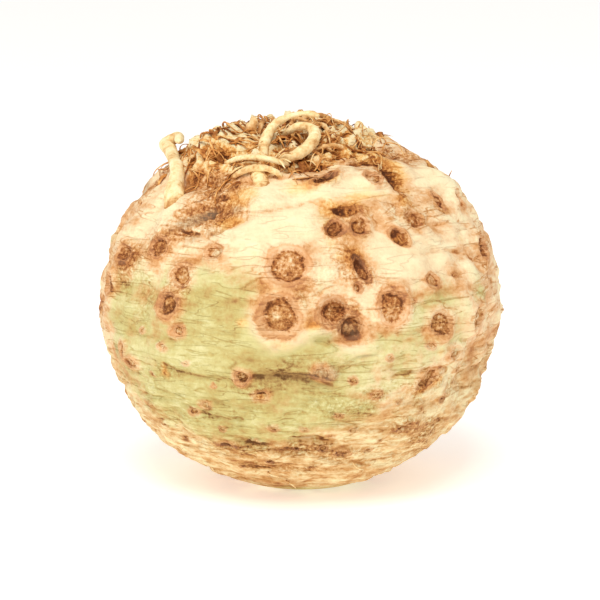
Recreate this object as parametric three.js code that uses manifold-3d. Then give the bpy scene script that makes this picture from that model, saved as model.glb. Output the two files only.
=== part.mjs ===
// A celeriac root as it is sold: one swollen, knobbly root with the leaves cut off. It rests on the
// cut leaf crown, and its matted roots are on top. It grew as one piece, so it is one solid.
// Millimetres, +Z up. The origin is the middle of the flat spot that it rests on, and the side
// that the photograph shows faces -Y.

import * as THREE from "three";
import { ConvexHull } from "three/addons/math/ConvexHull.js";
import { mergeVertices } from "three/addons/utils/BufferGeometryUtils.js";
import Module from "manifold-3d";

// Driving dimensions of the swollen root
const WIDTH = 120;
const FLESH_HEIGHT = 107;
const FLAT_SPOT_RADIUS = 16;
const TUFT_RADIUS = 37;

// The flesh is close to an ellipsoid that is cut off level at the flat spot.
const HALF_WIDTH = WIDTH / 2;
const CUT_SHARE = Math.sqrt(1 - (FLAT_SPOT_RADIUS / HALF_WIDTH) ** 2);
const HALF_HEIGHT = FLESH_HEIGHT / (1 + CUT_SHARE);
const MIDDLE = new THREE.Vector3(0, 0, HALF_HEIGHT * CUT_SHARE);

// How the photograph was taken. What it shows is placed by its pixels, in a frame of 600 by 600.
const VIEW_DISTANCE = 700;
const VIEW_ELEVATION = THREE.MathUtils.degToRad(10);
const PIXELS_PER_MM = 3.354;
const MIDDLE_PIXEL = [301.5, 305];

// How closely the surface is drawn
const SKIN_SPACING = 6.2;
const TUFT_SPACING = 4.6;
const CREASE_SPACING = 5.4;

const UP = new THREE.Vector3(0, 0, 1);
const SIDE = new THREE.Vector3(1, 0, 0);
const TO_VIEWER = new THREE.Vector3(0, -Math.cos(VIEW_ELEVATION), Math.sin(VIEW_ELEVATION));
const VIEW_UP = new THREE.Vector3(0, Math.sin(VIEW_ELEVATION), Math.cos(VIEW_ELEVATION));

// Broad swellings and hollows: the middle's pixel, half widths across and up in mm, the turn in
// degrees, and the height in mm, which is negative in a hollow.
const SWELLINGS = [
  { name: "cream_star", pixel: [275, 228], half: [14, 8], turn: 0, height: 2.2 },
  { name: "upper_shelf", pixel: [345, 187], half: [17, 6.5], turn: 0, height: 2.8 },
  { name: "pale_shoulder", pixel: [434, 178], half: [9, 5], turn: -42, height: 2.2 },
  { name: "cream_flank", pixel: [402, 262], half: [9, 11], turn: 0, height: 1.6 },
  { name: "right_boss", pixel: [471, 304], half: [8, 10], turn: 0, height: 2.0 },
  { name: "scar_mound", pixel: [283, 292], half: [13, 15], turn: 0, height: 1.9 },
  { name: "cork_mound", pixel: [390, 306], half: [8, 8], turn: 0, height: 1.2 },
  { name: "left_boss", pixel: [116, 268], half: [8, 14], turn: 0, height: 1.6 },
  { name: "double_hollow", pixel: [344, 320], half: [9, 6], turn: -30, height: -2.4 },
  { name: "tuft_mound", pixel: [222, 148], half: [12, 10], turn: 0, height: 4.6 },
  { name: "tuft_ridge", pixel: [278, 146], half: [13, 9], turn: 0, height: 1.8 },
  { name: "horn_foot", pixel: [177, 211], half: [5.5, 9], turn: -12, height: 3.2 },
  { name: "horn_hollow", pixel: [197, 183], half: [7, 6], turn: 40, height: -2.8 },
  { name: "brown_furrow", pixel: [213, 212], half: [10, 4], turn: 22, height: -2.4 },
  { name: "orange_knob", pixel: [248, 200], half: [5.5, 5.5], turn: 0, height: 2.2 },
  { name: "fibre_gully", pixel: [399, 184], half: [4, 7], turn: 8, height: -2.2 },
  { name: "right_flat", pixel: [472, 386], half: [14, 16], turn: 0, height: -2.0 },
  { name: "green_belly", pixel: [205, 335], half: [22, 15], turn: 0, height: 1.0 },
  { name: "green_gully", pixel: [292, 386], half: [13, 4], turn: -10, height: -1.5 },
  { name: "lower_dent", pixel: [296, 449], half: [4.5, 3.5], turn: 0, height: -1.8 },
  { name: "lower_fold", pixel: [300, 425], half: [20, 4], turn: 0, height: 0.8 },
  { name: "side_fold", pixel: [432, 352], half: [12, 6], turn: 0, height: 0.8 },
  { name: "right_dip", pixel: [486, 358], half: [11, 17], turn: 0, height: -3.4 },
  { name: "left_dip", pixel: [121, 216], half: [9, 9], turn: 30, height: -2.4 },
  { name: "right_side_dip", pixel: [503, 345], half: [10, 13], turn: 0, height: -4.0 },
  { name: "top_right_dip", pixel: [388, 146], half: [13, 6], turn: -30, height: -3.4 },
  { name: "stump_foot", pixel: [267, 205], half: [3.5, 6], turn: 0, height: 1.8 },
];

// Root scars: the middle's pixel, half sizes across and up in mm, the turn in degrees, the depth
// of the dish and the height of the rim in mm.
const SCARS = [
  { name: "upper_eye", pixel: [288, 267], half: [6.2, 5.4], turn: 15, depth: 1.3, rim: 1.2 },
  { name: "lower_eye", pixel: [280, 315], half: [5.9, 5.6], turn: 0, depth: 1.2, rim: 1.1 },
  { name: "double_left", pixel: [334, 312], half: [4.9, 4.2], turn: 0, depth: 1.1, rim: 0.9 },
  { name: "double_right", pixel: [353, 329], half: [3.9, 4.2], turn: 0, depth: 1.5, rim: 0.7 },
  { name: "cork_disc", pixel: [391, 306], half: [4.6, 5.2], turn: 0, depth: 0.9, rim: 0.9 },
  { name: "right_ring", pixel: [440, 324], half: [4.2, 3.9], turn: 0, depth: 0.8, rim: 0.8 },
  { name: "left_ring", pixel: [169, 303], half: [3.4, 3.6], turn: 0, depth: 1.0, rim: 0.7 },
  { name: "left_stub", pixel: [182, 275], half: [3.2, 3.4], turn: 20, depth: 1.1, rim: 0.7 },
  { name: "left_pit", pixel: [176, 331], half: [2.2, 1.9], turn: 0, depth: 1.0, rim: 0.5 },
  { name: "grey_eye", pixel: [215, 252], half: [3.2, 2.4], turn: 15, depth: 1.0, rim: 0.7 },
  { name: "dark_button", pixel: [241, 377], half: [2.1, 2.1], turn: 0, depth: 1.1, rim: 0.7 },
  { name: "pale_button", pixel: [261, 395], half: [2.0, 1.7], turn: 0, depth: 0.5, rim: 0.5 },
  { name: "left_patch", pixel: [160, 247], half: [3.4, 3.0], turn: 0, depth: 0.8, rim: 0.6 },
  { name: "shelf_cleft", pixel: [324, 183], half: [4.2, 2.2], turn: 28, depth: 1.9, rim: 0.6 },
  { name: "shelf_scar", pixel: [370, 182], half: [3.2, 2.7], turn: 0, depth: 0.9, rim: 0.8 },
  { name: "shoulder_slot", pixel: [440, 199], half: [1.8, 3.6], turn: 22, depth: 1.1, rim: 0.6 },
  { name: "edge_slot", pixel: [457, 200], half: [2.0, 3.0], turn: 25, depth: 1.0, rim: 0.5 },
  { name: "edge_pit", pixel: [481, 246], half: [3.2, 3.6], turn: 0, depth: 1.2, rim: 0.7 },
  { name: "middle_cleft", pixel: [362, 270], half: [1.9, 4.2], turn: 28, depth: 1.4, rim: 0.7 },
  { name: "cleft_pit", pixel: [358, 287], half: [1.2, 1.7], turn: 0, depth: 1.0, rim: 0.4 },
  { name: "amber_hollow", pixel: [398, 238], half: [2.8, 3.4], turn: 35, depth: 1.4, rim: 0.7 },
  { name: "faint_right", pixel: [430, 280], half: [2.8, 2.1], turn: 0, depth: 0.6, rim: 0.5 },
  { name: "twin_left", pixel: [333, 231], half: [3.0, 2.8], turn: 0, depth: 0.8, rim: 0.8 },
  { name: "twin_right", pixel: [358, 228], half: [3.0, 2.8], turn: 0, depth: 0.8, rim: 0.7 },
  { name: "crust_patch", pixel: [347, 213], half: [4.4, 1.8], turn: 0, depth: 0.8, rim: 0.6 },
  { name: "rough_patch", pixel: [415, 218], half: [3.6, 3.0], turn: -20, depth: 0.8, rim: 0.7 },
  { name: "right_low", pixel: [455, 352], half: [2.6, 2.3], turn: 0, depth: 0.8, rim: 0.8 },
  { name: "amber_crease", pixel: [426, 378], half: [4.6, 2.0], turn: 22, depth: 1.0, rim: 0.7 },
  { name: "low_pit", pixel: [445, 400], half: [1.7, 1.5], turn: 0, depth: 1.0, rim: 0.4 },
  { name: "green_ring", pixel: [322, 373], half: [2.8, 2.3], turn: 0, depth: 0.7, rim: 0.7 },
  { name: "low_left", pixel: [205, 404], half: [1.7, 1.2], turn: 0, depth: 0.8, rim: 0.4 },
  { name: "low_twin", pixel: [227, 445], half: [2.6, 1.5], turn: 0, depth: 0.8, rim: 0.5 },
  { name: "low_button", pixel: [271, 461], half: [1.3, 1.2], turn: 0, depth: 0.8, rim: 0.4 },
  { name: "low_patch", pixel: [342, 455], half: [2.4, 1.6], turn: 0, depth: 0.8, rim: 0.5 },
  { name: "low_knot", pixel: [324, 450], half: [1.5, 1.5], turn: 0, depth: 0.8, rim: 0.4 },
  { name: "low_right", pixel: [405, 425], half: [3.2, 1.9], turn: 10, depth: 0.8, rim: 0.6 },
  { name: "left_dash", pixel: [124, 348], half: [2.2, 2.2], turn: 0, depth: 0.9, rim: 0.4 },
  { name: "left_smudge", pixel: [132, 361], half: [3.4, 1.8], turn: 0, depth: 0.7, rim: 0.4 },
  { name: "left_edge_low", pixel: [113, 284], half: [3.6, 3.2], turn: 0, depth: 1.1, rim: 0.7 },
  { name: "left_edge_high", pixel: [128, 254], half: [3.4, 2.6], turn: 0, depth: 0.9, rim: 0.6 },
  { name: "olive_hollow", pixel: [476, 317], half: [4.6, 3.8], turn: 20, depth: 1.1, rim: 0.8 },
];

// Creases, with a negative height, and sharp lips, with a positive one, along lines of pixels
const CREASES = [
  {
    line: [[288, 170], [320, 164], [352, 163], [380, 163], [394, 172], [399, 190]],
    half: 1.5,
    height: -2.0,
  },
  { line: [[302, 205], [335, 200], [374, 199]], half: 1.0, height: -0.8 },
  { line: [[316, 206], [338, 212]], half: 1.0, height: -0.8 },
  { line: [[158, 362], [200, 376], [230, 380]], half: 0.9, height: -0.9 },
  { line: [[250, 379], [280, 377], [302, 379], [330, 385]], half: 1.4, height: -1.2 },
  { line: [[132, 390], [158, 398], [178, 401], [215, 416], [242, 420]], half: 0.9, height: -0.9 },
  { line: [[206, 400], [226, 405], [252, 409]], half: 0.9, height: -0.7 },
  { line: [[238, 440], [262, 445], [290, 440], [316, 441], [334, 444]], half: 1.3, height: -1.4 },
  { line: [[396, 374], [422, 369], [452, 368]], half: 0.9, height: -0.9 },
  { line: [[318, 341], [340, 343], [362, 338]], half: 1.2, height: -1.5 },
  { line: [[256, 318], [262, 334], [276, 350], [296, 341], [318, 330]], half: 1.2, height: 1.3 },
  { line: [[330, 349], [352, 352], [376, 347]], half: 1.1, height: 1.0 },
  { line: [[316, 300], [338, 290], [358, 297], [366, 312]], half: 1.2, height: 0.9 },
  { line: [[460, 338], [478, 341], [492, 336]], half: 0.9, height: -0.8 },
  { line: [[412, 256], [436, 249], [468, 252], [484, 268]], half: 0.9, height: -0.8 },
  { line: [[418, 222], [440, 222], [462, 219]], half: 0.9, height: -0.6 },
  { line: [[180, 229], [205, 236], [250, 222], [300, 207]], half: 1.0, height: -0.8 },
];

// Stout roots that stand out of the flesh: the pixel of each point of the middle line, its height
// over the flesh in mm, which is negative where it is sunk in, and the root's radius there.
const ROOTS = [
  {
    name: "left_horn",
    sides: 8,
    steps: 14,
    line: [
      [184, 236, -6.4, 2.4], [179, 219, -2.4, 3.2], [175, 202, 0.4, 3.1], [175, 186, 1.4, 2.6],
      [177, 173, 2.2, 2.15], [174, 160, 3.0, 1.75], [170, 150, 4.0, 2.0], [167, 143, 4.8, 1.9],
      [173, 139, 5.4, 1.7], [180, 141, 5.4, 1.3],
    ],
  },
  {
    name: "arching_root",
    sides: 6,
    steps: 12,
    line: [
      [262, 172, -1.6, 1.5], [263, 153, 1.4, 1.6], [267, 135, 4.0, 1.5], [276, 123, 6.0, 1.2],
      [290, 116, 7.2, 0.85], [305, 113, 7.8, 0.7], [314, 114, 7.8, 0.95], [319, 116, 7.6, 1.15],
    ],
  },
  {
    name: "loop_root",
    sides: 6,
    steps: 14,
    line: [
      [268, 161, -1.4, 0.9], [280, 159, 0.8, 1.2], [293, 156, 2.0, 1.45], [305, 149, 2.8, 1.7],
      [313, 140, 3.6, 1.75], [314, 131, 4.2, 1.6], [306, 126, 4.6, 1.3], [296, 127, 4.2, 1.2],
      [289, 131, 2.8, 1.1], [287, 137, -1.2, 1.0],
    ],
  },
  {
    name: "upper_strand",
    sides: 6,
    steps: 10,
    line: [
      [226, 163, 0.8, 0.65], [239, 158, 3.4, 0.75], [255, 157, 4.4, 0.8], [270, 159, 3.9, 0.8],
      [281, 162, 2.4, 0.75], [289, 165, -0.6, 0.65],
    ],
  },
  {
    name: "lower_strand",
    sides: 6,
    steps: 10,
    line: [
      [228, 182, -0.8, 0.7], [237, 174, 2.0, 0.8], [251, 168, 3.7, 0.95], [266, 168, 3.7, 0.95],
      [276, 172, 2.4, 0.85], [283, 180, -1.0, 0.7],
    ],
  },
  {
    name: "standing_stump",
    sides: 8,
    steps: 8,
    line: [
      [254, 170, 0.8, 1.6], [261, 182, 1.0, 2.2], [266, 197, -0.2, 2.3], [269, 212, -3.0, 1.8],
      [270, 224, -5.5, 1.2],
    ],
  },
  {
    name: "small_curl",
    sides: 5,
    steps: 7,
    line: [
      [214, 150, -0.8, 0.6], [216, 139, 2.0, 0.65], [223, 131, 3.2, 0.65], [230, 136, 2.4, 0.6],
      [232, 146, -0.8, 0.55],
    ],
  },
  {
    name: "knot",
    sides: 7,
    steps: 6,
    line: [[246, 140, -1.0, 1.5], [250, 130, 2.2, 1.5], [254, 122, 4.2, 1.2], [253, 118, 4.8, 0.8]],
  },
  {
    name: "shoulder_spike",
    sides: 5,
    steps: 5,
    line: [[440, 178, -1.2, 0.9], [434, 171, 0.9, 0.7], [426, 160, 2.6, 0.45]],
  },
];

// Numbers that the rules use
const GOLDEN_ANGLE = Math.PI * (3 - Math.sqrt(5));
const TUFT_PIXEL = [278, 127];
const TUFT_ROOTLETS = 24;
const BACK_ROOTS = 6;
const HIDDEN_SWELLINGS = 30;
const HIDDEN_SCARS = 170;
// Angles in radians from straight down
const CROWN_RINGS = [0.49, 0.7, 0.95, 1.25];
// A direction that points less than this far towards the viewer isn't in the photograph.
const HIDDEN_SIDE = 0.12;
// The relief is whole from this height over the rest plane, and no skin is lower than the other.
const RELIEF_STARTS = 6;
const LOWEST_SKIN = 0.5;
// Below the first half size a scar is drawn as a pit, and from it with a floor and a rim. From the
// second one the foot of the rim is drawn too.
const PIT_SIZE = 2.2;
const BIG_SCAR = 3.5;

// A number from 0 to 1 that is always the same for the same two counts
function draw(count, kind) {
  const wave = Math.sin(count * 12.9898 + kind * 78.233) * 43758.5453;
  return wave - Math.floor(wave);
}

// The flesh's radius along a direction, before its relief
function plainRadius(direction) {
  const level = (direction.x ** 2 + direction.y ** 2) / HALF_WIDTH ** 2;
  return 1 / Math.sqrt(level + direction.z ** 2 / HALF_HEIGHT ** 2);
}

function heightOver(point) {
  const offset = point.clone().sub(MIDDLE);
  const distance = offset.length();
  return distance - plainRadius(offset.divideScalar(distance));
}

// The point on the line of sight through a pixel, so many mm nearer to the viewer than the middle
function sightPoint([across, down], nearer) {
  const spread = (VIEW_DISTANCE - nearer) / VIEW_DISTANCE / PIXELS_PER_MM;
  return MIDDLE.clone()
    .addScaledVector(TO_VIEWER, nearer)
    .addScaledVector(VIEW_UP, (MIDDLE_PIXEL[1] - down) * spread)
    .add(new THREE.Vector3((across - MIDDLE_PIXEL[0]) * spread, 0, 0));
}

// The nearest point to the viewer, behind a pixel, that is so high over the flesh. Where the line
// of sight stays higher than that, it is where the line passes closest.
function overFlesh(pixel, height) {
  const STEP = 0.1;
  let lowest = Infinity;
  let closest = null;
  for (let nearer = WIDTH; nearer > -HALF_WIDTH; nearer -= STEP) {
    const point = sightPoint(pixel, nearer);
    const over = heightOver(point);
    if (over <= height) return point;
    if (over < lowest) {
      lowest = over;
      closest = point;
    }
  }
  return closest;
}

function directionAt(pixel) {
  return overFlesh(pixel, 0).sub(MIDDLE).normalize();
}

// Directions spread evenly over the whole ball by the golden angle
function evenDirection(index, count) {
  const z = 1 - (2 * index + 1) / count;
  const level = Math.sqrt(1 - z * z);
  const turn = GOLDEN_ANGLE * index;
  return new THREE.Vector3(level * Math.cos(turn), level * Math.sin(turn), z);
}

// East and north on the surface at a direction, turned anticlockwise
function tangents(direction, turn = 0) {
  const east = new THREE.Vector3().crossVectors(UP, direction).normalize();
  const north = new THREE.Vector3().crossVectors(direction, east);
  const angle = THREE.MathUtils.degToRad(turn);
  return [
    east.clone().multiplyScalar(Math.cos(angle)).addScaledVector(north, Math.sin(angle)),
    north.clone().multiplyScalar(Math.cos(angle)).addScaledVector(east, -Math.sin(angle)),
  ];
}

// A feature with its direction, its tangents and its radius worked out
function placed(feature, direction) {
  const [across, along] = tangents(direction, feature.turn);
  return { ...feature, direction, across, along, radius: plainRadius(direction) };
}

const isHidden = (direction) => direction.dot(TO_VIEWER) < HIDDEN_SIDE;
const tuftDirection = directionAt(TUFT_PIXEL);
const footAngle = Math.atan2(FLAT_SPOT_RADIUS, MIDDLE.z);
const tuftAngle = TUFT_RADIUS / plainRadius(tuftDirection);

function inFoot(direction, margin) {
  return direction.angleTo(UP) > Math.PI - footAngle - margin;
}

// The swellings that the photograph doesn't show follow the same mix of sizes as those it does.
function hiddenSwellings() {
  const made = [];
  for (let index = 0; index < HIDDEN_SWELLINGS * 2; index += 1) {
    const direction = evenDirection(index, HIDDEN_SWELLINGS * 2);
    if (!isHidden(direction) || inFoot(direction, 0.25)) continue;
    const half = [7 + 9 * draw(index, 1), 5 + 7 * draw(index, 2)];
    const height = (draw(index, 3) < 0.6 ? 1 : -1) * (1.0 + 1.4 * draw(index, 4));
    made.push(placed({ half, turn: 180 * draw(index, 5), height }, direction));
  }
  return made;
}

// Root scars are large near the matted roots and small near the cut leaves.
function hiddenScars() {
  const made = [];
  for (let index = 0; index < HIDDEN_SCARS; index += 1) {
    const direction = evenDirection(index, HIDDEN_SCARS);
    const [across, along] = tangents(direction);
    direction.addScaledVector(across, 0.12 * (draw(index, 6) - 0.5));
    direction.addScaledVector(along, 0.12 * (draw(index, 7) - 0.5)).normalize();
    const inTuft = direction.angleTo(tuftDirection) < tuftAngle * 0.85;
    if (!isHidden(direction) || inTuft || inFoot(direction, 0.12)) continue;
    const size = (1.1 + 4.2 * draw(index, 8) ** 2.4) * (1 + 0.35 * direction.z);
    made.push(
      placed(
        {
          half: [size * (1 + 0.35 * draw(index, 9)), size * (0.75 + 0.3 * draw(index, 10))],
          turn: 50 * (draw(index, 11) - 0.5),
          depth: 0.45 + 0.18 * size,
          rim: 0.3 + 0.14 * size,
        },
        direction,
      ),
    );
  }
  return made;
}

// The cut leaves left broken rings round the crown. They run all round low down, and further up
// only where the photograph doesn't show the skin.
function crownRings() {
  const LOWEST_RING = 0.55;
  const STEP = 0.16;
  const arcOf = (down, ring, arc, arcs) => {
    const start = (2 * Math.PI * (arc + draw(ring, 40))) / arcs;
    const extent = (2 * Math.PI * (0.45 + 0.4 * draw(arc, 41 + ring))) / arcs;
    const wander = 0.07 * (draw(arc, 51 + ring) - 0.5);
    const points = Array.from({ length: Math.ceil(extent / STEP) + 1 }, (_, i) => {
      const turn = start + STEP * i;
      const tilt = down + wander * Math.sin(5 * turn) + 0.02 * i * wander;
      const upright = new THREE.Vector3().setFromSphericalCoords(1, tilt, turn);
      return upright.applyAxisAngle(SIDE, -Math.PI / 2);
    });
    return { points, half: 1.1 + 0.5 * draw(arc, 61 + ring), height: -0.7 - 0.6 * draw(arc, 71 + ring) };
  };
  return CROWN_RINGS.flatMap((down, ring) => {
    const arcs = 3 + ring;
    return Array.from({ length: arcs }, (_, arc) => arcOf(down, ring, arc, arcs)).filter(
      (crease) => down < LOWEST_RING || crease.points.every(isHidden),
    );
  });
}

const swellings = SWELLINGS.map((s) => placed(s, directionAt(s.pixel))).concat(hiddenSwellings());
const scars = SCARS.map((s) => placed(s, directionAt(s.pixel))).concat(hiddenScars());
const creases = CREASES.map((c) => ({ ...c, points: c.line.map(directionAt) })).concat(crownRings());

// How far a direction is from a feature's middle, in its own half sizes
function share(feature, direction) {
  if (direction.dot(feature.direction) < 0.5) return Infinity;
  const x = direction.dot(feature.across) * feature.radius;
  const y = direction.dot(feature.along) * feature.radius;
  return Math.hypot(x / feature.half[0], y / feature.half[1]);
}

// A dish with a low boss in it, inside a raised rim
function scarHeight(scar, direction) {
  const from = share(scar, direction);
  if (from > 2.5) return 0;
  const dish = -scar.depth * (1 - THREE.MathUtils.smoothstep(from, 0.55, 0.95));
  const boss = 0.55 * scar.depth * Math.exp(-((from / 0.32) ** 2));
  return dish + boss + scar.rim * Math.exp(-(((from - 1.08) / 0.3) ** 2));
}

// The distance in mm from a direction to a line of directions
function lineDistance(points, direction) {
  let nearest = Infinity;
  const closest = new THREE.Vector3();
  for (let i = 1; i < points.length; i += 1) {
    new THREE.Line3(points[i - 1], points[i]).closestPointToPoint(direction, true, closest);
    nearest = Math.min(nearest, closest.normalize().distanceTo(direction));
  }
  return nearest * HALF_WIDTH;
}

// Small lumps all over, and crags in the tuft, as a few crossed waves
function lumps(direction) {
  const { x, y, z } = direction;
  const { sin } = Math;
  let waves = sin(9 * x + 5 * y + 1.3) + sin(8 * y - 7 * z + 0.4);
  waves += sin(10 * z + 6 * x + 2.1) + sin(13 * (x - y) + 4 * z);
  let knobs = sin(23 * x + 6 * y) * sin(21 * y + 8 * z + 2);
  knobs += sin(27 * z - 7 * x) * sin(19 * x + 14 * y);
  let crags = sin(31 * x + 17 * z) * sin(29 * y - 13 * x + 1);
  crags += sin(47 * y + 23 * z) * sin(41 * x + 5);
  const tuft = 1 - THREE.MathUtils.smoothstep(direction.angleTo(tuftDirection) / tuftAngle, 0.55, 1);
  const upper = THREE.MathUtils.smoothstep(z, -0.6, 0.4);
  return 0.3 * waves + (0.25 + 0.3 * upper) * knobs + 1.3 * tuft * crags;
}

function relief(direction) {
  let height = lumps(direction);
  for (const swelling of swellings) {
    height += swelling.height * Math.exp(-(share(swelling, direction) ** 2));
  }
  for (const scar of scars) height += scarHeight(scar, direction);
  for (const crease of creases) {
    const distance = lineDistance(crease.points, direction);
    height += crease.height * Math.exp(-((distance / crease.half) ** 2));
  }
  return height;
}

// A point of the surface. It is level over the flat spot, and the relief dies out around that.
function surfacePoint(direction) {
  const radius = plainRadius(direction);
  const plain = MIDDLE.z + radius * direction.z;
  const fade = THREE.MathUtils.smoothstep(plain, 0, RELIEF_STARTS);
  const point = MIDDLE.clone().addScaledVector(direction, radius + relief(direction) * fade);
  if (inFoot(direction, 1e-4)) {
    const reach = MIDDLE.z / -direction.z;
    return MIDDLE.clone().addScaledVector(direction, reach);
  }
  return point.setZ(Math.max(point.z, LOWEST_SKIN));
}

// Directions on a ring round a feature, at a share of its half sizes
function ringRound(feature, at, count) {
  return Array.from({ length: count }, (_, i) => {
    const angle = (2 * Math.PI * (i + at)) / count;
    return feature.direction
      .clone()
      .addScaledVector(feature.across, (at * feature.half[0] * Math.cos(angle)) / feature.radius)
      .addScaledVector(feature.along, (at * feature.half[1] * Math.sin(angle)) / feature.radius)
      .normalize();
  });
}

function footDirections() {
  const ring = (radius, count, turn) =>
    Array.from({ length: count }, (_, i) => {
      const angle = (2 * Math.PI * (i + turn)) / count;
      return new THREE.Vector3(radius * Math.cos(angle), radius * Math.sin(angle), -MIDDLE.z).normalize();
    });
  return [...ring(FLAT_SPOT_RADIUS * 0.55, 3, 0.25), ...ring(FLAT_SPOT_RADIUS, 18, 0)];
}

function scarDirections(scar) {
  const size = Math.max(...scar.half);
  const sides = THREE.MathUtils.clamp(Math.round(2.1 * size), 6, 11);
  if (size < PIT_SIZE) return [scar.direction, ...ringRound(scar, 1.1, 6)];
  const floor = [scar.direction, ...ringRound(scar, 0.57, sides - 1)];
  const dished = floor.concat(ringRound(scar, 1.07, sides));
  return size < BIG_SCAR ? dished : dished.concat(ringRound(scar, 1.55, sides));
}

// The bottom of a crease and both its edges
function creaseDirections(crease) {
  const made = [];
  for (let i = 1; i < crease.points.length; i += 1) {
    const [from, to] = [crease.points[i - 1], crease.points[i]];
    const count = Math.max(1, Math.round((from.distanceTo(to) * HALF_WIDTH) / CREASE_SPACING));
    const sideways = new THREE.Vector3().crossVectors(from, to).normalize();
    for (let step = 0; step < count; step += 1) {
      const middle = from.clone().lerp(to, step / count).normalize();
      const edge = (1.7 * crease.half) / HALF_WIDTH;
      for (const side of [0, edge, -edge]) {
        made.push(middle.clone().addScaledVector(sideways, side).normalize());
      }
    }
  }
  return made;
}

// Every direction that gets a vertex: those of the features first, then even ones between them
function skinDirections() {
  const kept = [];
  const cell = SKIN_SPACING / HALF_WIDTH;
  const cells = new Map();
  const key = (v) => [v.x, v.y, v.z].map((c) => Math.floor(c / cell));
  const steps = [-1, 0, 1];
  const around = steps.flatMap((i) => steps.flatMap((j) => steps.map((k) => [i, j, k])));
  const isClose = (direction, clearance) =>
    around.some((step) => {
      const others = cells.get(key(direction).map((c, axis) => c + step[axis]).join()) ?? [];
      return others.some((other) => other.distanceTo(direction) * HALF_WIDTH < clearance);
    });
  const add = (direction, clearance) => {
    if (isClose(direction, clearance)) return;
    kept.push(direction);
    const home = key(direction).join();
    cells.set(home, [...(cells.get(home) ?? []), direction]);
  };
  const surface = 4 * Math.PI * HALF_WIDTH * HALF_HEIGHT;
  const spread = (spacing, accept) => {
    const count = Math.round(surface / (0.87 * spacing ** 2));
    for (let index = 0; index < count; index += 1) {
      const direction = evenDirection(index, count);
      if (accept(direction) && !inFoot(direction, -1e-3)) add(direction, spacing * 0.72);
    }
  };
  footDirections().forEach((d) => add(d, 0));
  const outsideFoot = (d) => !inFoot(d, 0.03);
  scars.flatMap(scarDirections).filter(outsideFoot).forEach((d) => add(d, 1.0));
  creases.flatMap(creaseDirections).filter(outsideFoot).forEach((d) => add(d, 1.3));
  spread(TUFT_SPACING, (d) => d.angleTo(tuftDirection) < tuftAngle * 0.9);
  spread(SKIN_SPACING, outsideFoot);
  return kept;
}

// The closed skin: the hull of the directions on a ball joins them, and the relief then moves them.
function fleshGeometry() {
  const directions = skinDirections();
  const numbers = new Map(directions.map((direction, i) => [direction, i]));
  const hull = new ConvexHull().setFromPoints(directions);
  const corners = hull.faces.flatMap(({ edge }) =>
    [edge, edge.next, edge.next.next].map((side) => numbers.get(side.head().point)),
  );
  return new THREE.BufferGeometry().setFromPoints(directions.map(surfacePoint)).setIndex(corners);
}

// A round root along a line. A thin tube is drawn first, and each ring is then opened to its radius.
function rootGeometry({ points, radii, sides, steps }) {
  const THIN = 0.05;
  const curve = new THREE.CatmullRomCurve3(points, false, "centripetal");
  const section = new THREE.Shape(
    Array.from({ length: sides }, (_, i) => {
      const angle = (2 * Math.PI * i) / sides;
      return new THREE.Vector2(THIN * Math.cos(angle), THIN * Math.sin(angle));
    }),
  );
  const tube = new THREE.ExtrudeGeometry(section, { steps, extrudePath: curve, bevelEnabled: false });
  const middles = curve.getSpacedPoints(steps);
  const lengths = [0];
  points.slice(1).forEach((point, i) => lengths.push(lengths[i] + point.distanceTo(points[i])));
  const radiusAt = (part) => {
    const reach = part * lengths.at(-1);
    const next = Math.max(1, lengths.findIndex((length) => length >= reach - 1e-9));
    const within = (reach - lengths[next - 1]) / (lengths[next] - lengths[next - 1]);
    return THREE.MathUtils.lerp(radii[next - 1], radii[next], within);
  };
  const place = tube.getAttribute("position");
  const corner = new THREE.Vector3();
  for (let i = 0; i < place.count; i += 1) {
    corner.fromBufferAttribute(place, i);
    const distances = middles.map((middle) => middle.distanceTo(corner));
    const ring = distances.indexOf(Math.min(...distances));
    corner.sub(middles[ring]).multiplyScalar(radiusAt(ring / steps) / THIN).add(middles[ring]);
    place.setXYZ(i, corner.x, corner.y, corner.z);
  }
  return tube;
}

function seenRoot({ line, sides, steps }) {
  const points = line.map(([across, down, over]) => overFlesh([across, down], over));
  return rootGeometry({ points, radii: line.map((stop) => stop[3]), sides, steps });
}

// A root that runs over the surface from a direction, bending as it goes, and dives in at its end
function runningRoot({ from, heading, bend, length, radius, rise, sides, steps }) {
  const STOPS = 6;
  const direction = from.clone();
  const [across, along] = tangents(direction);
  const way = across.multiplyScalar(Math.cos(heading)).addScaledVector(along, Math.sin(heading));
  const points = [];
  const radii = [];
  for (let stop = 0; stop < STOPS; stop += 1) {
    const part = stop / (STOPS - 1);
    const over = -1.8 * radius + (rise + 1.8 * radius) * Math.sin(Math.PI * part) ** 0.7;
    points.push(MIDDLE.clone().addScaledVector(direction, plainRadius(direction) + over));
    radii.push(radius * (1 - 0.35 * part));
    direction.addScaledVector(way, length / (STOPS - 1) / HALF_WIDTH).normalize();
    way.addScaledVector(direction, -way.dot(direction)).normalize();
    way.applyAxisAngle(direction, bend / (STOPS - 1));
  }
  return rootGeometry({ points, radii, sides, steps });
}

// Short curled rootlets that mat the tuft
function tuftRootlets() {
  const [across, along] = tangents(tuftDirection);
  return Array.from({ length: TUFT_ROOTLETS }, (_, i) => {
    const out = tuftAngle * 0.82 * Math.sqrt((i + 0.5) / TUFT_ROOTLETS);
    const from = tuftDirection
      .clone()
      .addScaledVector(across, Math.sin(out) * Math.cos(GOLDEN_ANGLE * i))
      .addScaledVector(along, Math.sin(out) * Math.sin(GOLDEN_ANGLE * i))
      .normalize();
    return runningRoot({
      from,
      heading: 2 * Math.PI * draw(i, 20),
      bend: 3.4 * (draw(i, 21) - 0.5),
      length: 9 + 9 * draw(i, 22),
      radius: 0.5 + 0.4 * draw(i, 23),
      rise: 1.2 + 1.4 * draw(i, 24),
      sides: 5,
      steps: 5,
    });
  });
}

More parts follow.
